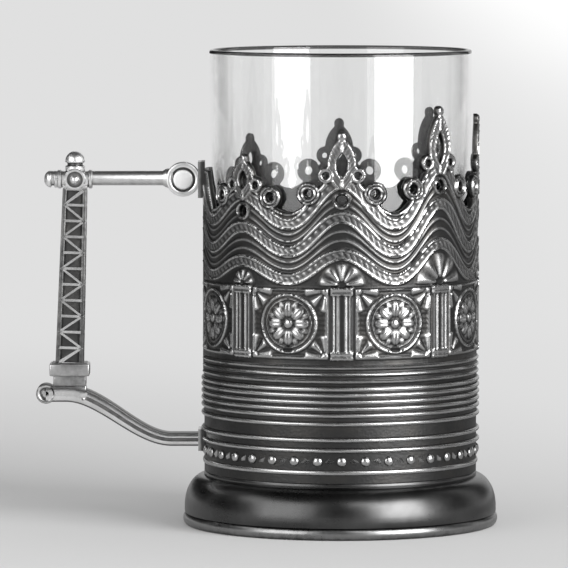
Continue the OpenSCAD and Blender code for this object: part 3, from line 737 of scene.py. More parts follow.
def chased_grid():
    phi = -90 + 360 * np.arange(GRID_COLUMNS) / GRID_COLUMNS
    z = SKIRT_TOP + GRID_STEP * np.arange(grid_rows + 1)
    P, Z = np.meshgrid(phi, z, indexing="ij")
    D = outline_distance(P, Z)
    around = np.roll(D, -1, axis=0)
    keep = (D[:, :-1] + D[:, 1:] + around[:, :-1] + around[:, 1:]) / 4 > 0
    padded = np.pad(keep, ((0, 0), (1, 1)), constant_values=((False, False), (True, False)))
    count = np.zeros(P.shape)
    for shifted in (padded, np.roll(padded, 1, axis=0)):
        count += shifted[:, :-1].astype(int) + shifted[:, 1:].astype(int)
    edge = (count > 0) & (count < 4)
    column_w = 2 * np.pi * SHEET_R / GRID_COLUMNS
    slope_u = (np.roll(D, -1, axis=0) - np.roll(D, 1, axis=0)) / (2 * column_w)
    slope_z = np.gradient(D, GRID_STEP, axis=1)
    steep = np.maximum(slope_u ** 2 + slope_z ** 2, 0.3)
    for pull in range(2):
        off = np.where(edge, outline_distance(P, Z) / steep, 0)
        P = P - np.degrees(np.clip(off * slope_u, -GRID_STEP, GRID_STEP) / SHEET_R)
        Z = Z - np.clip(off * slope_z, -GRID_STEP, GRID_STEP)
    return P, Z, keep


grid_phi, grid_z, grid_keep = chased_grid()
grid_h = relief_height(grid_phi, grid_z)
print("Cells kept:", int(grid_keep.sum()), "of", grid_keep.size)


# %% How exposed each point is
def spread(field, reach):
    """A box average over a square of points."""
    steps = range(-reach, reach + 1)
    for axis in (0, 1):
        field = sum(np.roll(field, step, axis=axis) for step in steps) / len(steps)
    return field


grid_raised = np.clip(grid_h / RELIEF * 0.85 + (grid_h - spread(grid_h, 4)) * 1.1, 0, 1)
print("Mean exposure:", round(float(grid_raised[:, :-1][grid_keep].mean()), 3))


# %% Quarters of the casing
QUARTERS = 4
INSIDE_RAISED = 0.35


def quarter_mesh(first, last):
    """Outer face, inner face and edge walls of the columns from first to last."""
    columns = np.arange(first, last + 1)
    wrapped = columns % GRID_COLUMNS
    keep = grid_keep[wrapped[:-1]]
    a = np.radians(grid_phi[wrapped])
    z = grid_z[wrapped]
    outer_r = SHEET_R + grid_h[wrapped]
    outer = np.stack([outer_r * np.sin(a), -outer_r * np.cos(a), z], axis=-1)
    inner = np.stack([INNER_R * np.sin(a), -INNER_R * np.cos(a), z], axis=-1)
    count = a.size
    ids = np.arange(count).reshape(a.shape)
    i, k = np.nonzero(keep)
    corner = [ids[i, k], ids[i + 1, k], ids[i + 1, k + 1], ids[i, k + 1]]
    faces = [np.stack(corner, axis=1), np.stack(corner[::-1], axis=1) + count]
    room = np.pad(keep, 1)
    beside = [room[i + 1, k], room[i + 2, k + 1], room[i + 1, k + 2], room[i, k + 1]]
    for side, kept_beside in enumerate(beside):
        p, q = corner[side][~kept_beside], corner[(side + 1) % 4][~kept_beside]
        faces.append(np.stack([q, p, p + count, q + count], axis=1))
    faces = np.concatenate(faces)
    points = np.concatenate([outer.reshape(-1, 3), inner.reshape(-1, 3)])
    raised = np.concatenate([grid_raised[wrapped].ravel(), np.full(count, INSIDE_RAISED)])
    used = np.unique(faces)
    renumber = np.zeros(2 * count, dtype=int)
    renumber[used] = np.arange(len(used))
    return points[used], renumber[faces], raised[used]


for quarter in range(QUARTERS):
    start = quarter * GRID_COLUMNS // QUARTERS
    points, faces, raised = quarter_mesh(start, start + GRID_COLUMNS // QUARTERS)
    add_piece(f"chased_casing_{quarter + 1}", points, faces.tolist(), chased_silver, raised, 55,
              ("casing",))
    print("Quarter", quarter + 1, "has", 2 * len(faces), "triangles")

# %% [markdown]
# ## Turned work
# The reeded skirt, the foot, the handle's round parts and the glass are all shapes that a
# lathe would make: a profile that is turned about an axis. One function does it for every
# one of them. A profile is a list of radius, height and raised number. One that closes on
# itself makes a ring, and one that starts and ends on the axis makes a solid.

# %% A lathe
ON_AXIS = 1e-6
WIDE_STEPS = 256


def turned(profile, segments=64, closed=False):
    """The shape of a turned profile: its points, faces and raised numbers."""
    points, rings, raised = [], [], []
    for r, z, lift in profile:
        if r < ON_AXIS:
            rings.append([len(points)] * segments)
            points.append((0.0, 0.0, z))
            raised.append(lift)
            continue
        rings.append(list(range(len(points), len(points) + segments)))
        for k in range(segments):
            a = 2 * math.pi * k / segments
            points.append((r * math.cos(a), r * math.sin(a), z))
            raised.append(lift)
    faces = []
    for i in range(len(rings) if closed else len(rings) - 1):
        low, high = rings[i], rings[(i + 1) % len(rings)]
        for k in range(segments):
            m = (k + 1) % segments
            corners = [low[k], low[m], high[m], high[k]]
            face = [c for n, c in enumerate(corners) if c not in corners[:n]]
            if len(face) > 2:
                faces.append(face)
    return points, faces, raised


def ring(profile):
    return turned(profile, WIDE_STEPS, closed=True)


# %% Parts of a profile
def arc(r, z, reach, rise, first, last, steps=10, lifts=(0.0, 0.0)):
    """Profile points on an ellipse about (r, z), from one angle in degrees to another."""
    out = []
    for i in range(steps + 1):
        a = math.radians(first + (last - first) * i / steps)
        lift = lifts[0] + (lifts[1] - lifts[0]) * i / steps
        out.append((r + reach * math.cos(a), z + rise * math.sin(a), lift))
    return out


def half_round(r, z, height, proud, steps=10):
    """A half-round moulding on a wall of radius r, most raised at its crest."""
    return [(x, y, (x - r) / proud) for x, y, lift in arc(r, z, proud, height / 2, -90, 90, steps)]


def there_and_back(half):
    """A profile that is the same on both sides of height 0."""
    return half + [(r, -z, lift) for r, z, lift in half[::-1]]


# %% [markdown]
# A shape can be moved, a block with rounded edges is a shape too, and several closed shapes
# together make one piece.

# %% Shapes into pieces
def moved(shape, matrix):
    points, faces, raised = shape
    points = np.asarray(points) @ np.array(matrix.to_3x3()).T + np.array(matrix.translation)
    return points.tolist(), faces, raised


def soft_box(size, centre, edge, raised):
    """A block with rounded edges."""
    build = bmesh.new()
    bmesh.ops.create_cube(build, size=1)
    bmesh.ops.scale(build, verts=build.verts, vec=size)
    bmesh.ops.bevel(build, geom=list(build.edges), offset=edge, segments=3, profile=0.5, affect="EDGES")
    build.verts.index_update()
    points = [tuple(v.co + Vector(centre)) for v in build.verts]
    faces = [[v.index for v in face.verts] for face in build.faces]
    build.free()
    return points, faces, [raised] * len(points)


def solid_piece(name, shapes, finish, node, sharp=38, body="holder"):
    """Joins closed shapes into the piece that stands for a node of the frame."""
    points, faces, raised = [], [], []
    for shape_points, shape_faces, shape_raised in shapes:
        start = len(raised)
        points += shape_points
        raised += shape_raised
        faces += [[start + c for c in face] for face in shape_faces]
    raised = raised if any(raised) else None
    piece = add_piece(name, points, faces, finish, raised, sharp, (node,), body)
    tidy_normals(piece)
    print(name, "has", len(piece.data.polygons), "faces")


# %% [markdown]
# The skirt carries the reeds that stand between the foot and the frieze. Each reed is a
# half-round moulding, and they stand closer together towards the top.

# %% The reeded skirt
REED_W = 1.25
BAND_Z = 16.0
REEDS_FOOT = 21.5
REEDS_H = 15.0
REED_SHARES = [0, 0.17, 0.43, 0.57, 0.68, 0.79, 0.9, 1]
skirt = [(INNER_R, FOOT_TOP, 0.0), (SHEET_R, FOOT_TOP, 0.0)]
skirt += half_round(SHEET_R, BAND_Z, REED_W, RELIEF / 2)
for share in REED_SHARES:
    skirt += half_round(SHEET_R, REEDS_FOOT + REEDS_H * share, REED_W, RELIEF)
skirt += [(SHEET_R + GROUND, SKIRT_TOP, 0.0), (INNER_R, SKIRT_TOP, 0.0)]
solid_piece("reeded_skirt", [ring(skirt)], chased_silver, "casing", 42)

# %% [markdown]
# ## The foot
# The foot is one disc of metal spun over a form: it flares out from the casing in a soft
# shoulder and ends in a half-round bead. It has no chasing, so it is polished smooth under
# its dark film and mirrors the studio in broad patches. The turned profile follows the
# construction, with a small radius where the construction has a corner.

# %% Finish of the foot
RING_DEPTH = 0.012


def spun_dark(name, level, rough):
    """Smooth darkened silver with the fine rings that polishing leaves."""
    f = Finish(name)
    p = f.place()
    raised = raised_mask(f, p)
    cloud = f.noise(p, 55.0, 5.0)
    speck = f.noise(p, 700.0)
    rings = f.noise(p, 90.0, squeeze=(0.4, 0.4, 26.0))
    film = f.blend(cloud.step(0.35, 0.7), grey(level * 0.8), grey(level * 1.35))
    rubbed = (raised + (speck - 0.5) * 0.5 + (cloud - 0.5) * 0.4).step(0.45, 1.05)
    colour = f.blend(rubbed, film, grey(0.25))
    gloss = rough + (cloud - 0.5) * 0.14 + (rings - 0.5) * 0.05 + (speck - 0.5) * 0.06
    return f.metal(colour, gloss, f.bump(rings * 0.6 + speck * 0.25, RING_DEPTH * MM, 0.5))


spun_silver = spun_dark("spun_silver", 0.075, 0.29)

# %% Foot and bead
FOOT_WALL = 1.1
FOOT_FACE = 4.5
WIRE_H = bead_hi.z
WIRE_R = 0.95
FLANGE = 4.5
SEAT_IN = 0.6
SHOULDER_STEPS = 24
foot_in = FOOT_R - SEAT_IN
shoulder_h = FOOT_TOP - FOOT_WALL - FOOT_FACE
foot_profile = [(SHEET_R - FLANGE, FOOT_TOP, 0.0), (SHEET_R - 0.2, FOOT_TOP, 0.2),
                (SHEET_R + 0.02, FOOT_TOP - 0.2, 0.5), (SHEET_R + 0.04, FOOT_TOP - FOOT_WALL + 0.2, 0.2)]
foot_profile += arc(SHEET_R, FOOT_FACE, FOOT_R - SHEET_R, shoulder_h, 90, 0, SHOULDER_STEPS)
foot_profile += [(FOOT_R, WIRE_H + 0.35, 0.1), (FOOT_R - 0.12, WIRE_H, 0.0), (foot_in, WIRE_H, 0.0),
                 (foot_in, 0.1, 0.0), (foot_in - 0.4, 0.02, 0.3), (foot_in - FOOT_WALL, 0.1, 0.0)]
foot_profile += arc(SHEET_R - FOOT_WALL, FOOT_FACE, foot_in - SHEET_R, shoulder_h - FOOT_WALL,
                    0, 90, SHOULDER_STEPS)
foot_profile += [(SHEET_R - FLANGE, FOOT_TOP - FOOT_WALL, 0.0)]
solid_piece("spun_foot", [ring(foot_profile)], spun_silver, "foot", 50)
wire_in = foot_in + 0.04
wire_profile = [(wire_in, 0.0, 0.0)] + half_round(BEAD_R - WIRE_R, WIRE_H / 2, WIRE_H, WIRE_R, 16)
wire_profile += [(wire_in, WIRE_H, 0.0)]
solid_piece("foot_bead", [ring(wire_profile)], spun_silver, "foot_wire", 42)

# %% [markdown]
# ## The floor plate and the lugs
# These keep the shape that the construction gives them and only need their finish. Their
# hollows can't be told from a point's own number, so the mask comes from the place on the
# piece instead: the floor is rubbed bright where the glass stands and turns dark at its edge.

# %% Finishes for pieces of the frame
def floor_mask(f, p):
    x, y, z = f.axes(p)
    return 1 - ((x * x + y * y).root() / MM).step(20.0, 33.0)


def lug_mask(f, p):
    x, y, z = f.axes(p)
    out = (x * -1 / MM).step(SHEET_R + 0.2, SHEET_R + 1.4)
    return out * (1 - (y.size() / MM).step(3.1, 3.8, 0.0, 0.35))


floor_silver = antiqued("floor_silver", 0.10, 0.42, 0.45, 0.3, floor_mask, 0.5)
lug_silver = antiqued("lug_silver", 0.08, 0.55, 0.42, 0.24, lug_mask, 0.4)
for node_name, finish in (("floor_disc", floor_silver), ("upper_lug", lug_silver), ("lower_lug", lug_silver)):
    node_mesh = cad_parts[node_name].data
    node_mesh.materials.clear()
    node_mesh.materials.append(finish)
print("Finished in place: floor_disc, upper_lug, lower_lug")

# %% [markdown]
# ## The bright handle
# The handle is cast and filed, then rubbed bright, because a hand polishes it every day.
# The arm and its ends keep a satin face, the flat rivet heads are brushed, and the bracket
# below is smoother. The handle's round parts are turned shapes laid on their side: along
# the arm, or to the front and again to the back.

# %% Finishes and directions of the handle
handle_silver = antiqued("handle_silver", 0.10, 0.86, 0.4, 0.2)
satin_silver = antiqued("satin_silver", 0.09, 0.88, 0.45, 0.36)
brushed_silver = antiqued("brushed_silver", 0.07, 0.95, 0.5, 0.52)
TO_FRONT = Matrix.Rotation(math.radians(90), 4, "X")
TO_BACK = Matrix.Rotation(math.radians(-90), 4, "X")
ALONG_X = Matrix(((0, 0, 1, 0), (0, 1, 0, 0), (-1, 0, 0, 0), (0, 0, 0, 1)))
AGAINST_X = Matrix(((0, 0, -1, 0), (0, 1, 0, 0), (1, 0, 0, 0), (0, 0, 0, 1)))


def front_and_back(shape, place):
    return [moved(shape, place @ TO_FRONT), moved(shape, place @ TO_BACK)]


print("Finishes:", handle_silver.name, satin_silver.name, brushed_silver.name)

# %% [markdown]
# The arm is a round rod. At the casing it ends in a flat eye with a raised rim, and a
# rivet with a domed head goes through the eye. The groove between rim and head holds dark
# film, which draws the ring that the photograph shows.

# %% Arm, eye and rivet
rivet_lo, rivet_hi = box_mm("eye_rivet")
cap_lo, cap_hi = box_mm("arm_cap")
hub_lo, hub_hi = box_mm("mast_hub")
ARM_Z = (cap_lo.z + cap_hi.z) / 2
EYE_X = (rivet_lo.x + rivet_hi.x) / 2
HUB_X = (hub_lo.x + hub_hi.x) / 2
ARM_R = 1.8
ARM_LIFT = 0.25
EYE_R = 4.2
EYE_T = 5.4
EYE_RIM = 1.1
EYE_GROOVE = 0.45
SLOT_T = 2.08
HEAD_R = 2.5
HEAD_H = 0.85
HEAD_ROUND = 0.45
cheek_back = SLOT_T / 2
cheek_face = EYE_T / 2
eye_profile = [(0.0, cheek_back, 0.0), (EYE_R - 0.15, cheek_back, 0.2), (EYE_R, cheek_back + 0.2, 0.6),
               (EYE_R, cheek_face - 0.3, 0.7), (EYE_R - 0.1, cheek_face - 0.08, 0.9),
               (EYE_R - 0.3, cheek_face, 1.0), (EYE_R - EYE_RIM + 0.15, cheek_face, 1.0),
               (EYE_R - EYE_RIM - 0.02, cheek_face - 0.1, 0.7),
               (EYE_R - EYE_RIM - 0.1, cheek_face - EYE_GROOVE, 0.0), (0.0, cheek_face - EYE_GROOVE, 0.0)]
cheek = turned(eye_profile, 96)
rod_start = cap_lo.x + 1.5
rod_end = EYE_X - EYE_R + 0.7
rod_profile = [(0.0, rod_start, 0.5), (ARM_R - 0.2, rod_start, 0.5), (ARM_R, rod_start + 0.2, 0.62),
               (ARM_R, rod_end - 1.6, 0.62), (ARM_R + 0.45, rod_end - 0.9, 0.9),
               (ARM_R + 0.62, rod_end - 0.35, 0.7), (ARM_R + 0.62, rod_end + 0.5, 0.3),
               (0.0, rod_end + 0.5, 0.3)]
eye_at = Matrix.Translation((EYE_X, 0, ARM_Z))
fork_web = soft_box((1.5, EYE_T - 0.6, 3.4), (EYE_X - EYE_R + 0.95, 0, ARM_Z), 0.25, 0.4)
rod = moved(turned(rod_profile), Matrix.Translation((0, 0, ARM_Z + ARM_LIFT)) @ ALONG_X)
solid_piece("arm_with_eye", [rod, fork_web] + front_and_back(cheek, eye_at), satin_silver, "cross_arm")
head_profile = [(0.0, 0.0, 0.5), (HEAD_R - 0.12, 0.0, 0.1)]
head_profile += arc(HEAD_R - HEAD_ROUND, HEAD_H - 0.1 - HEAD_ROUND, HEAD_ROUND, HEAD_ROUND,
                    0, 90, 6, (0.6, 0.96))
head_profile += [(HEAD_R / 2, HEAD_H - 0.03, 1.0), (0.0, HEAD_H, 1.0)]
head = moved(turned(head_profile), Matrix.Translation((0, 0, cheek_face - EYE_GROOVE)))
solid_piece("rivet_heads", front_and_back(head, eye_at), brushed_silver, "eye_rivet")

# %% [markdown]
# The arm passes through a small sleeve on top of the mast and ends in a turned cap. The
# sleeve has a lip at both ends, a round face to the front and back with a polished stud
# on it, and the finial stands on top.

# %% Cap, hub, studs and finial
CAP_R = 2.1
CAP_LEN = 3.4
CAP_DOME = 1.75
HUB_R = 2.35
DRUM_HALF = 2.6
DRUM_R = 2.7
STUD_R = 1.2
FINIAL_DOME = 2.0
cap_profile = [(0.0, 0.0, 0.2), (CAP_R - 0.15, 0.0, 0.4), (CAP_R, 0.12, 1.0), (CAP_R, 0.7, 1.0),
               (CAP_R - 0.15, 0.85, 0.5), (CAP_R - 0.5, 0.95, 0.0), (CAP_R - 0.5, 1.55, 0.0),
               (CAP_R - 0.12, 1.68, 0.6)]
cap_profile += arc(0.0, CAP_DOME, CAP_R, CAP_LEN - CAP_DOME, 0, 90, lifts=(0.9, 0.9))
cap_at = Matrix.Translation((cap_hi.x, 0, ARM_Z))
solid_piece("turned_cap", [moved(turned(cap_profile), cap_at @ AGAINST_X)], satin_silver, "arm_cap")
end_x = (hub_hi.x - hub_lo.x) / 2
sleeve = turned(there_and_back([
    (0.0, -end_x, 0.4), (HUB_R - 0.2, -end_x, 0.6), (HUB_R, 0.2 - end_x, 1.0), (HUB_R, 0.75 - end_x, 1.0),
    (HUB_R - 0.3, 0.95 - end_x, 0.2), (HUB_R - 0.3, 1.3 - end_x, 0.9)]))
drum = turned(there_and_back([
    (0.0, -DRUM_HALF, 0.8), (DRUM_R - 0.75, -DRUM_HALF, 0.1), (DRUM_R - 0.65, -DRUM_HALF, 0.8),
    (DRUM_R - 0.25, -DRUM_HALF, 1.0), (DRUM_R, 0.25 - DRUM_HALF, 1.0)]))
hub_at = Matrix.Translation((HUB_X, 0, ARM_Z))
hub_seat = soft_box((5.9, 5.1, 1.0), (HUB_X, 0, ARM_Z - HUB_R + 0.5), 0.2, 0.5)
solid_piece("hub_sleeve", [moved(sleeve, hub_at @ ALONG_X), moved(drum, hub_at @ TO_FRONT), hub_seat],
            satin_silver, "mast_hub")
stud_profile = [(0.0, 0.0, 0.3), (STUD_R, 0.0, 0.2)] + arc(0.0, 0.0, STUD_R, STUD_R, 9, 90, 9, (1.0, 1.0))
stud = moved(turned(stud_profile, 48), Matrix.Translation((0, 0, DRUM_HALF)))
solid_piece("polished_studs", front_and_back(stud, hub_at), satin_silver, "hub_studs")
finial_lo, finial_hi = box_mm("mast_finial")
finial_r = (finial_hi.x - finial_lo.x) / 2
finial_h = finial_hi.z - finial_lo.z
finial_profile = [(0.0, -0.4, 0.3), (finial_r - 0.1, -0.4, 0.3), (finial_r, 0.1, 0.9), (finial_r, 0.8, 1.0),
                  (finial_r - 0.2, 1.0, 0.4), (finial_r - 0.55, 1.1, 0.0), (finial_r - 0.55, 1.6, 0.0),
                  (finial_r - 0.1, 1.85, 0.6)]
finial_profile += arc(0.0, FINIAL_DOME, finial_r, finial_h - FINIAL_DOME, 0, 90, 12, (0.85, 0.85))
finial = moved(turned(finial_profile), Matrix.Translation((HUB_X, 0, finial_lo.z)))
solid_piece("turned_finial", [finial], satin_silver, "mast_finial")

# %% [markdown]
# ## Geometry Nodes from Python
# What repeats is best described once. The next class builds a Geometry Nodes tree the same
# way as the shader class builds a material: named sizes go in, a plain mesh comes out. The
# tree is run on an empty mesh, its result is turned into ordinary points and faces, and
# the modifier is thrown away, so that nothing depends on it later.

# %% A tree of geometry
class Pattern(Finish):
    """A Geometry Nodes tree with named sizes."""

    def __init__(self, name, sizes):
        self.tree = bpy.data.node_groups.new(name, "GeometryNodeTree")
        self.sizes = sizes
        for way in ("INPUT", "OUTPUT"):
            self.tree.interface.new_socket("Geometry", in_out=way, socket_type="NodeSocketGeometry")
        for size_name, value in sizes.items():
            kind = "NodeSocketInt" if isinstance(value, int) else "NodeSocketFloat"
            self.tree.interface.new_socket(size_name, in_out="INPUT", socket_type=kind)
        self.start = self.tree.nodes.new("NodeGroupInput")
        self.end = self.tree.nodes.new("NodeGroupOutput")

    def length(self, size_name):
        return Val(self, self.start.outputs[size_name])

    def join(self, *parts):
        made = self.tree.nodes.new("GeometryNodeJoinGeometry")
        for part in parts:
            self.tree.links.new(part.socket, made.inputs[0])
        return Val(self, made.outputs[0])

    def vector(self, x=0.0, y=0.0, z=0.0):
        return self.node("ShaderNodeCombineXYZ", {}, {0: x, 1: y, 2: z})

    def shifted(self, geometry, **change):
        """Geometry moved by a Translation, a Rotation or a Scale."""
        return self.node("GeometryNodeTransform", {}, {"Geometry": geometry, **change})

    def copies(self, points, instance, **more):
        """One copy of the instance on each point."""
        return self.node("GeometryNodeInstanceOnPoints", {}, {"Points": points, "Instance": instance, **more})

    def run(self, result, finish):
        """Ends the tree, runs it and returns points in millimetres and faces."""
        real = self.node("GeometryNodeRealizeInstances", {}, {0: result})
        dressed = self.node("GeometryNodeSetMaterial", {}, {"Geometry": real, "Material": finish})
        self.tree.links.new(dressed.socket, self.end.inputs[0])
        seed = add_object("seed", bpy.data.meshes.new("seed"))
        modifier = seed.modifiers.new("pattern", "NODES")
        modifier.node_group = self.tree
        for item in self.tree.interface.items_tree:
            if item.item_type == "SOCKET" and item.in_out == "INPUT" and item.name in self.sizes:
                modifier[item.identifier] = self.sizes[item.name]
        mesh = bpy.data.meshes.new_from_object(seed.evaluated_get(bpy.context.evaluated_depsgraph_get()))
        points = [tuple(v.co / MM) for v in mesh.vertices]
        faces = [list(face.vertices) for face in mesh.polygons]
        seed.modifiers.remove(modifier)
        bpy.data.objects.remove(seed)
        return points, faces


# %% [markdown]
# ## Pearls and lozenges
# Between the two lowest beads runs a plain dark band. A row of pearls and lozenges fills
# it, an old border for metalwork. The tree makes two rings of points, one half a step
# ahead of the other, and turns every copy to face outwards.

# %% Border of pearls and lozenges
BORDER_Z = (BAND_Z + REEDS_FOOT) / 2
BORDER_COUNT = 36
PEARL_R = 1.25
LOZENGE_W = 2.3
LOZENGE_LIFT = 0.7
FULL_RISE = 0.5


def border_row():
    g = Pattern("pearls_and_lozenges", {
        "Count": BORDER_COUNT, "Ring Radius": SHEET_R * MM, "Height": BORDER_Z * MM,
        "Pearl Radius": PEARL_R * MM, "Lozenge Width": LOZENGE_W * MM, "Lozenge Relief": LOZENGE_LIFT * MM})
    circle = g.node("GeometryNodeMeshCircle", {},
                    {"Vertices": g.length("Count"), "Radius": g.length("Ring Radius")})
    half_step = g.shifted(circle, Rotation=g.vector(z=math.pi / g.length("Count")))
    outwards = g.node("FunctionNodeAlignRotationToVector", {"axis": "Z"},
                      {"Vector": g.node("GeometryNodeInputPosition")})
    pearl = g.node("GeometryNodeMeshUVSphere", {},
                   {"Segments": 12, "Rings": 8, "Radius": g.length("Pearl Radius")})
    flat_pearl = g.shifted(pearl, Scale=(1.0, 1.0, 0.56))
    lozenge = g.node("GeometryNodeMeshCone", {"fill_type": "NGON"},
                     {"Vertices": 4, "Radius Top": 0.0, "Radius Bottom": g.length("Lozenge Width"),
                      "Depth": g.length("Lozenge Relief") * 2})
    sunk = g.shifted(lozenge, Scale=(1.0, 0.72, 1.0), Translation=g.vector(z=g.length("Lozenge Relief") * -1))
    pearls = g.copies(circle, flat_pearl, Rotation=outwards)
    lozenges = g.copies(half_step, sunk, Rotation=outwards)
    both = g.shifted(g.join(pearls, lozenges), Translation=g.vector(z=g.length("Height")))
    return g.run(both, chased_silver)


points, faces = border_row()
border_raised = [min(1.0, max(0.0, (math.hypot(x, y) - SHEET_R) / FULL_RISE)) for x, y, z in points]
add_piece("pearl_border", points, faces, chased_silver, border_raised, 60)
print("Border faces:", len(faces))

# %% [markdown]
# ## The mast
# The upright of the handle is a square lattice mast: four corner rails, and between them
# ties that zigzag from bay to bay. Behind the lattice is a solid dark core, so the bright
# ties stand out. One tree makes the zigzag for one face. The faces differ in width, so it
# runs once for each width, and copies are turned to the four sides. Like a real tower, the
# mast grows a little wider towards its foot.

# %% Lattice of one face
mast_lo, mast_hi = box_mm("mast")
collar_lo, collar_hi = box_mm("mast_collar")
MAST_BAYS = 11
MAST_W = 6.0
MAST_T = 5.2
RAIL = 1.05
TIE = 0.85
MAST_TAPER = 0.16
POCKET = 0.75
mast_foot = Vector(((collar_lo.x + collar_hi.x) / 2, 0, mast_lo.z))
mast_len = mast_hi.z - mast_lo.z
mast_lean = math.atan2(HUB_X - mast_foot.x, mast_len)
print("Mast leans", round(math.degrees(mast_lean), 2), "degrees and is", round(mast_len, 1), "mm tall")


def lattice_face(width):
    """Zigzag ties and level ties of one face, from the foot up, centred on the Z axis."""
    g = Pattern("lattice_face", {"Bays": MAST_BAYS, "Length": mast_len * MM,
                                 "Half Width": (width - RAIL) / 2 * MM, "Tie": TIE * MM})
    half_w, tie = g.length("Half Width"), g.length("Tie")
    knots = g.node("GeometryNodeMeshLine", {"mode": "END_POINTS"},
                   {"Count": g.length("Bays") + 1, "Offset": g.vector(z=g.length("Length"))})
    side = g.node("GeometryNodeInputIndex") % 2.0 * 2 - 1
    swung = g.node("GeometryNodeSetPosition", {}, {"Geometry": knots, "Offset": g.vector(x=side * half_w)})
    line = g.node("GeometryNodeMeshToCurve", {}, {"Mesh": swung})
    profile = g.node("GeometryNodeCurvePrimitiveQuadrilateral", {"mode": "RECTANGLE"},
                     {"Width": tie, "Height": tie})
    zigzag = g.node("GeometryNodeCurveToMesh", {},
                    {"Curve": line, "Profile Curve": profile, "Fill Caps": True})
    bar = g.node("GeometryNodeMeshCube", {}, {"Size": g.vector(half_w * 2, tie, tie * 0.75)})
    return g.run(g.join(zigzag, g.copies(knots, bar)), chased_silver)


# %% Core, rails and ties of the mast
mast_at = Matrix.Translation(mast_foot) @ Matrix.Rotation(mast_lean, 4, "Y")
long = mast_len / math.cos(mast_lean)
core_size = (MAST_W - 2 * POCKET, MAST_T - 2 * POCKET, long + 0.3)
mast_shapes = [soft_box(core_size, (0, 0, long / 2), 0.05, 0.14)]
for side_x in (-1, 1):
    for side_y in (-1, 1):
        middle = (side_x * (MAST_W - RAIL) / 2, side_y * (MAST_T - RAIL) / 2, long / 2)
        mast_shapes.append(soft_box((RAIL, RAIL, long + 0.4), middle, 0.28, 0.26))
for width, depth, quarter_turn in ((MAST_W, MAST_T, 0), (MAST_T, MAST_W, 90)):
    points, faces = lattice_face(width)
    shape = (points, faces, [1.0] * len(points))
    for half_turn in (0, 180):
        place = Matrix.Rotation(math.radians(quarter_turn + half_turn), 4, "Z")
        mast_shapes.append(moved(shape, place @ Matrix.Translation((0, (TIE - depth) / 2, 0))))


def tapered(shape):
    """Widens a shape towards the foot of the mast."""
    points, faces, raised = shape
    wider = [1 + MAST_TAPER * (1 - z / long) for x, y, z in points]
    return [(x * k, y * k, z) for (x, y, z), k in zip(points, wider)], faces, raised


mast_silver = antiqued("mast_silver", 0.07, 0.92, 0.45, 0.2, grain=0.8)
solid_piece("lattice_mast", [moved(tapered(shape), mast_at) for shape in mast_shapes], mast_silver, "mast")

# %% [markdown]
# ## Collar and bracket
# The mast stands on a stepped collar, and the collar on an S-shaped bracket that is
# soldered to the casing. The bracket is one cross-section drawn along a line: rounded
# edges above and below, which are painted dark together with the flats between them, a
# painted dark reflection, and a groove along each side that keeps its dark film. The two
# rims beside the groove catch the light as a pair of parallel lines. At the outer end the
# bar closes in a rolled curl, whose outer rim is painted dark in the same way.

# %% The collar
COLLAR_STEP = 0.9
collar_size = collar_hi - collar_lo
collar_mid = (collar_lo + collar_hi) / 2
step_h = collar_size.z * 0.45
plinth_h = collar_size.z - step_h


def collar_block(narrower, height, z, edge, raised):
    size = (collar_size.x - narrower, collar_size.y - narrower, height)
    return soft_box(size, (collar_mid.x, 0, z), edge, raised)


solid_piece("stepped_collar", [
    collar_block(0, plinth_h, collar_hi.z - plinth_h / 2, 0.35, 0.48),
    collar_block(1.1, 0.5, collar_hi.z - 0.05, 0.2, 0.3),
    collar_block(2 * COLLAR_STEP, step_h + 0.3, collar_lo.z + step_h / 2 + 0.15, 0.25, 0.4)],
    handle_silver, "mast_collar")

# %% The line of the bracket
lug_lo, lug_hi = box_mm("lower_lug")
BRACKET_T = 4.0
BRACKET_END_T = 3.2
BRACKET_HALF_W = 2.8
BRACKET_GROOVE = 0.45
BRACKET_SINK = 0.35
BRACKET_EDGE = 0.35
BRACKET_UNDER = 0.65
CURL_R = 2.45
CURL_REACH = 5.9
BEND = (0.135, 0.825)
PANEL_START = 0.24
bracket_from = Vector((mast_foot.x - CURL_REACH, 0, collar_lo.z - BRACKET_T / 2))
bracket_to = Vector((lug_lo.x, 0, (lug_lo.z + lug_hi.z) / 2))


def bend_at(s):
    return float(ease((s - BEND[0]) / (BEND[1] - BEND[0])))


def bar_middle(s):
    across_x = bracket_from.x + (bracket_to.x - bracket_from.x) * s
    return Vector((across_x, 0, bracket_from.z + (bracket_to.z - bracket_from.z) * bend_at(s)))


def bar_section(s):
    """The closed cross-section at a share of the bar's length, with its raised numbers."""
    half = (BRACKET_T + (BRACKET_END_T - BRACKET_T) * bend_at(s)) / 2
    sink = BRACKET_SINK * float(ease((s - PANEL_START) / 0.03))
    w, e, u, g = BRACKET_HALF_W, BRACKET_EDGE, BRACKET_UNDER, BRACKET_GROOVE
    hollow = 1 - 0.75 * sink / BRACKET_SINK
    # Painted dark reflection: the rounded edges above and below and the flats between them get low raised
    # numbers, so they render dark.
    side = [(w - e, half, 0.0), (w - 0.1, half - 0.1, 0.05), (w, half - e, 1.0), (w, g, 1.0),
            (w - sink, g - 0.2, hollow), (w - sink, 0.2 - g, hollow), (w, -g, 1.0), (w, u - half, 1.0),
            (w - 0.2, 0.2 - half, 0.0), (w - u, -half, 0.0)]
    right = [(0.0, half, 0.35)] + side + [(0.0, -half, 0.2)]
    left = [(-y, n, lift) for y, n, lift in right[1:-1][::-1]]
    run = (bar_middle(s + 0.01) - bar_middle(s - 0.01)).normalized()
    up = Vector((-run.z, 0, run.x))
    middle = bar_middle(s)
    return [(middle + up * n + Vector((0, y, 0)), lift) for y, n, lift in right + left]


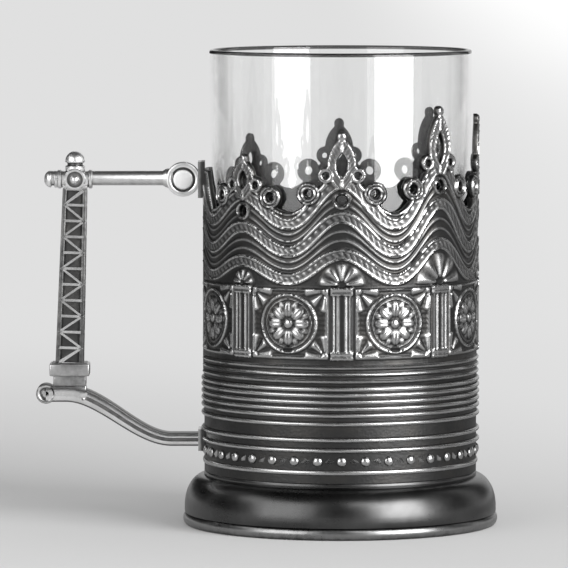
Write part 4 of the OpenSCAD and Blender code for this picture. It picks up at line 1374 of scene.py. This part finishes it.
# %% Sweep the bracket
BAR_STEPS = 72
bar_points, bar_raised_and_shade, bar_faces = [], [], []
for i in range(BAR_STEPS + 1):
    section = bar_section(i / BAR_STEPS)
    bar_points += [tuple(point) for point, lift in section]
    bar_raised_and_shade += [lift for point, lift in section]
around_bar = len(section)
for i in range(BAR_STEPS):
    for k in range(around_bar):
        m = (k + 1) % around_bar
        a, b = i * around_bar, (i + 1) * around_bar
        bar_faces.append([a + k, a + m, b + m, b + k])
bar_faces.append(list(range(around_bar)))
bar_faces.append([BAR_STEPS * around_bar + k for k in range(around_bar)][::-1])
w = BRACKET_HALF_W
# Painted dark reflection: the curl's outer rim gets a low raised number.
curl = turned(there_and_back([
    (0.0, -w, 0.6), (0.7, -w, 0.6), (1.0, 0.25 - w, 0.2), (1.35, 0.35 - w, 0.0), (1.65, 0.1 - w, 0.4),
    (1.85, -w, 0.6), (CURL_R - 0.3, -w, 0.6), (CURL_R - 0.05, 0.2 - w, 0.2), (CURL_R, 0.6 - w, 0.1)]), 72)
seat_size = (collar_size.x - 2 * COLLAR_STEP, 2 * w - 0.5, BRACKET_T / 2)
seat = soft_box(seat_size, (mast_foot.x, 0, bracket_from.z + BRACKET_T / 4), 0.15, 0.6)
solid_piece("curled_bracket", [(bar_points, bar_faces, bar_raised_and_shade),
                               moved(curl, Matrix.Translation(bracket_from) @ TO_FRONT), seat],
            handle_silver, "lower_bracket")

# %% [markdown]
# ## The glass
# A tea glass for a holder is plain: a straight thin wall, a thick bottom with a shallow
# hollow under it, and a lip that was rounded in the flame. Both faces of the wall are
# modelled, because light bends at each of them. A narrow band at the lip is painted grey,
# a painted shade that draws the thin dark line of the rim. Seen nearly edge on, a thin
# wall lets light slip past it, so the finish turns clearer there. Faint wiping marks keep
# the gloss from being perfect.

# %% Clear glass
GLASS_WALL = 1.2
GLASS_DRAFT = 1.0
GLASS_BASE = 4.0
GLASS_EDGE = 3.0
GLASS_PUNT = 0.8
LIP_BAND = 0.85
PAINTED_RIM_SHADE = 0.13
LIP_FADE = 0.15
GLASS_INDEX = 1.5


def glass_finish():
    f = Finish("clear_glass")
    p = f.place()
    smear = f.noise(p, 70.0, 4.0, squeeze=(1.0, 1.0, 0.35))
    film = f.noise(p, 600.0, 2.0)
    gloss = smear.step(0.5, 0.8, 0.0, 0.035) + film * 0.008
    x, y, z = f.axes(p)
    # Painted shade: a grey band at the lip draws the thin dark line of the rim.
    lip = (z / MM).step(GLASS_TOP - LIP_BAND - LIP_FADE, GLASS_TOP - LIP_BAND)
    tint = f.blend(smear, (0.998, 0.999, 0.998, 1.0), (0.992, 0.995, 0.994, 1.0))
    normal = f.bump(f.noise(p, 38.0, 1.0), 0.02 * MM, 0.25)
    wall = f.node("ShaderNodeBsdfPrincipled", {}, {
        "Base Color": f.blend(lip, tint, grey(PAINTED_RIM_SHADE)), "Roughness": gloss, "IOR": GLASS_INDEX,
        "Normal": normal, "Transmission Weight": 1.0})
    slant = f.node("ShaderNodeLayerWeight", {}, {"Blend": 0.5}, out="Facing")
    clear = f.node("ShaderNodeBsdfTransparent", {}, {"Color": grey(1.0)})
    slips_past = slant.step(0.45, 0.82, 0.0, 0.94) * (1 - lip)
    return f.surface(f.node("ShaderNodeMixShader", {}, {0: slips_past, 1: wall, 2: clear}))


glass_foot = GLASS_R - GLASS_DRAFT
glass_h = glass_hi.z - glass_lo.z
edge, lip_r = GLASS_EDGE, GLASS_WALL / 2
glass_profile = [(0.0, GLASS_PUNT, 0.0), (glass_foot - 3 * edge, GLASS_PUNT, 0.0),
                 (glass_foot - 2 * edge, 0.0, 0.0)]
glass_profile += arc(glass_foot - edge, edge, edge, edge, -90, 0)
glass_profile += arc(GLASS_R - lip_r, glass_h - lip_r, lip_r, lip_r, 0, 180, 14)
glass_profile += arc(glass_foot - GLASS_WALL - edge, GLASS_BASE + edge, edge, edge, 0, -90)
glass_profile += [(0.0, GLASS_BASE, 0.0)]
glass = moved(turned(glass_profile, WIDE_STEPS), Matrix.Translation((0, 0, glass_lo.z)))
solid_piece("thin_glass", [glass], glass_finish(), "tea_glass", 60, "glass")
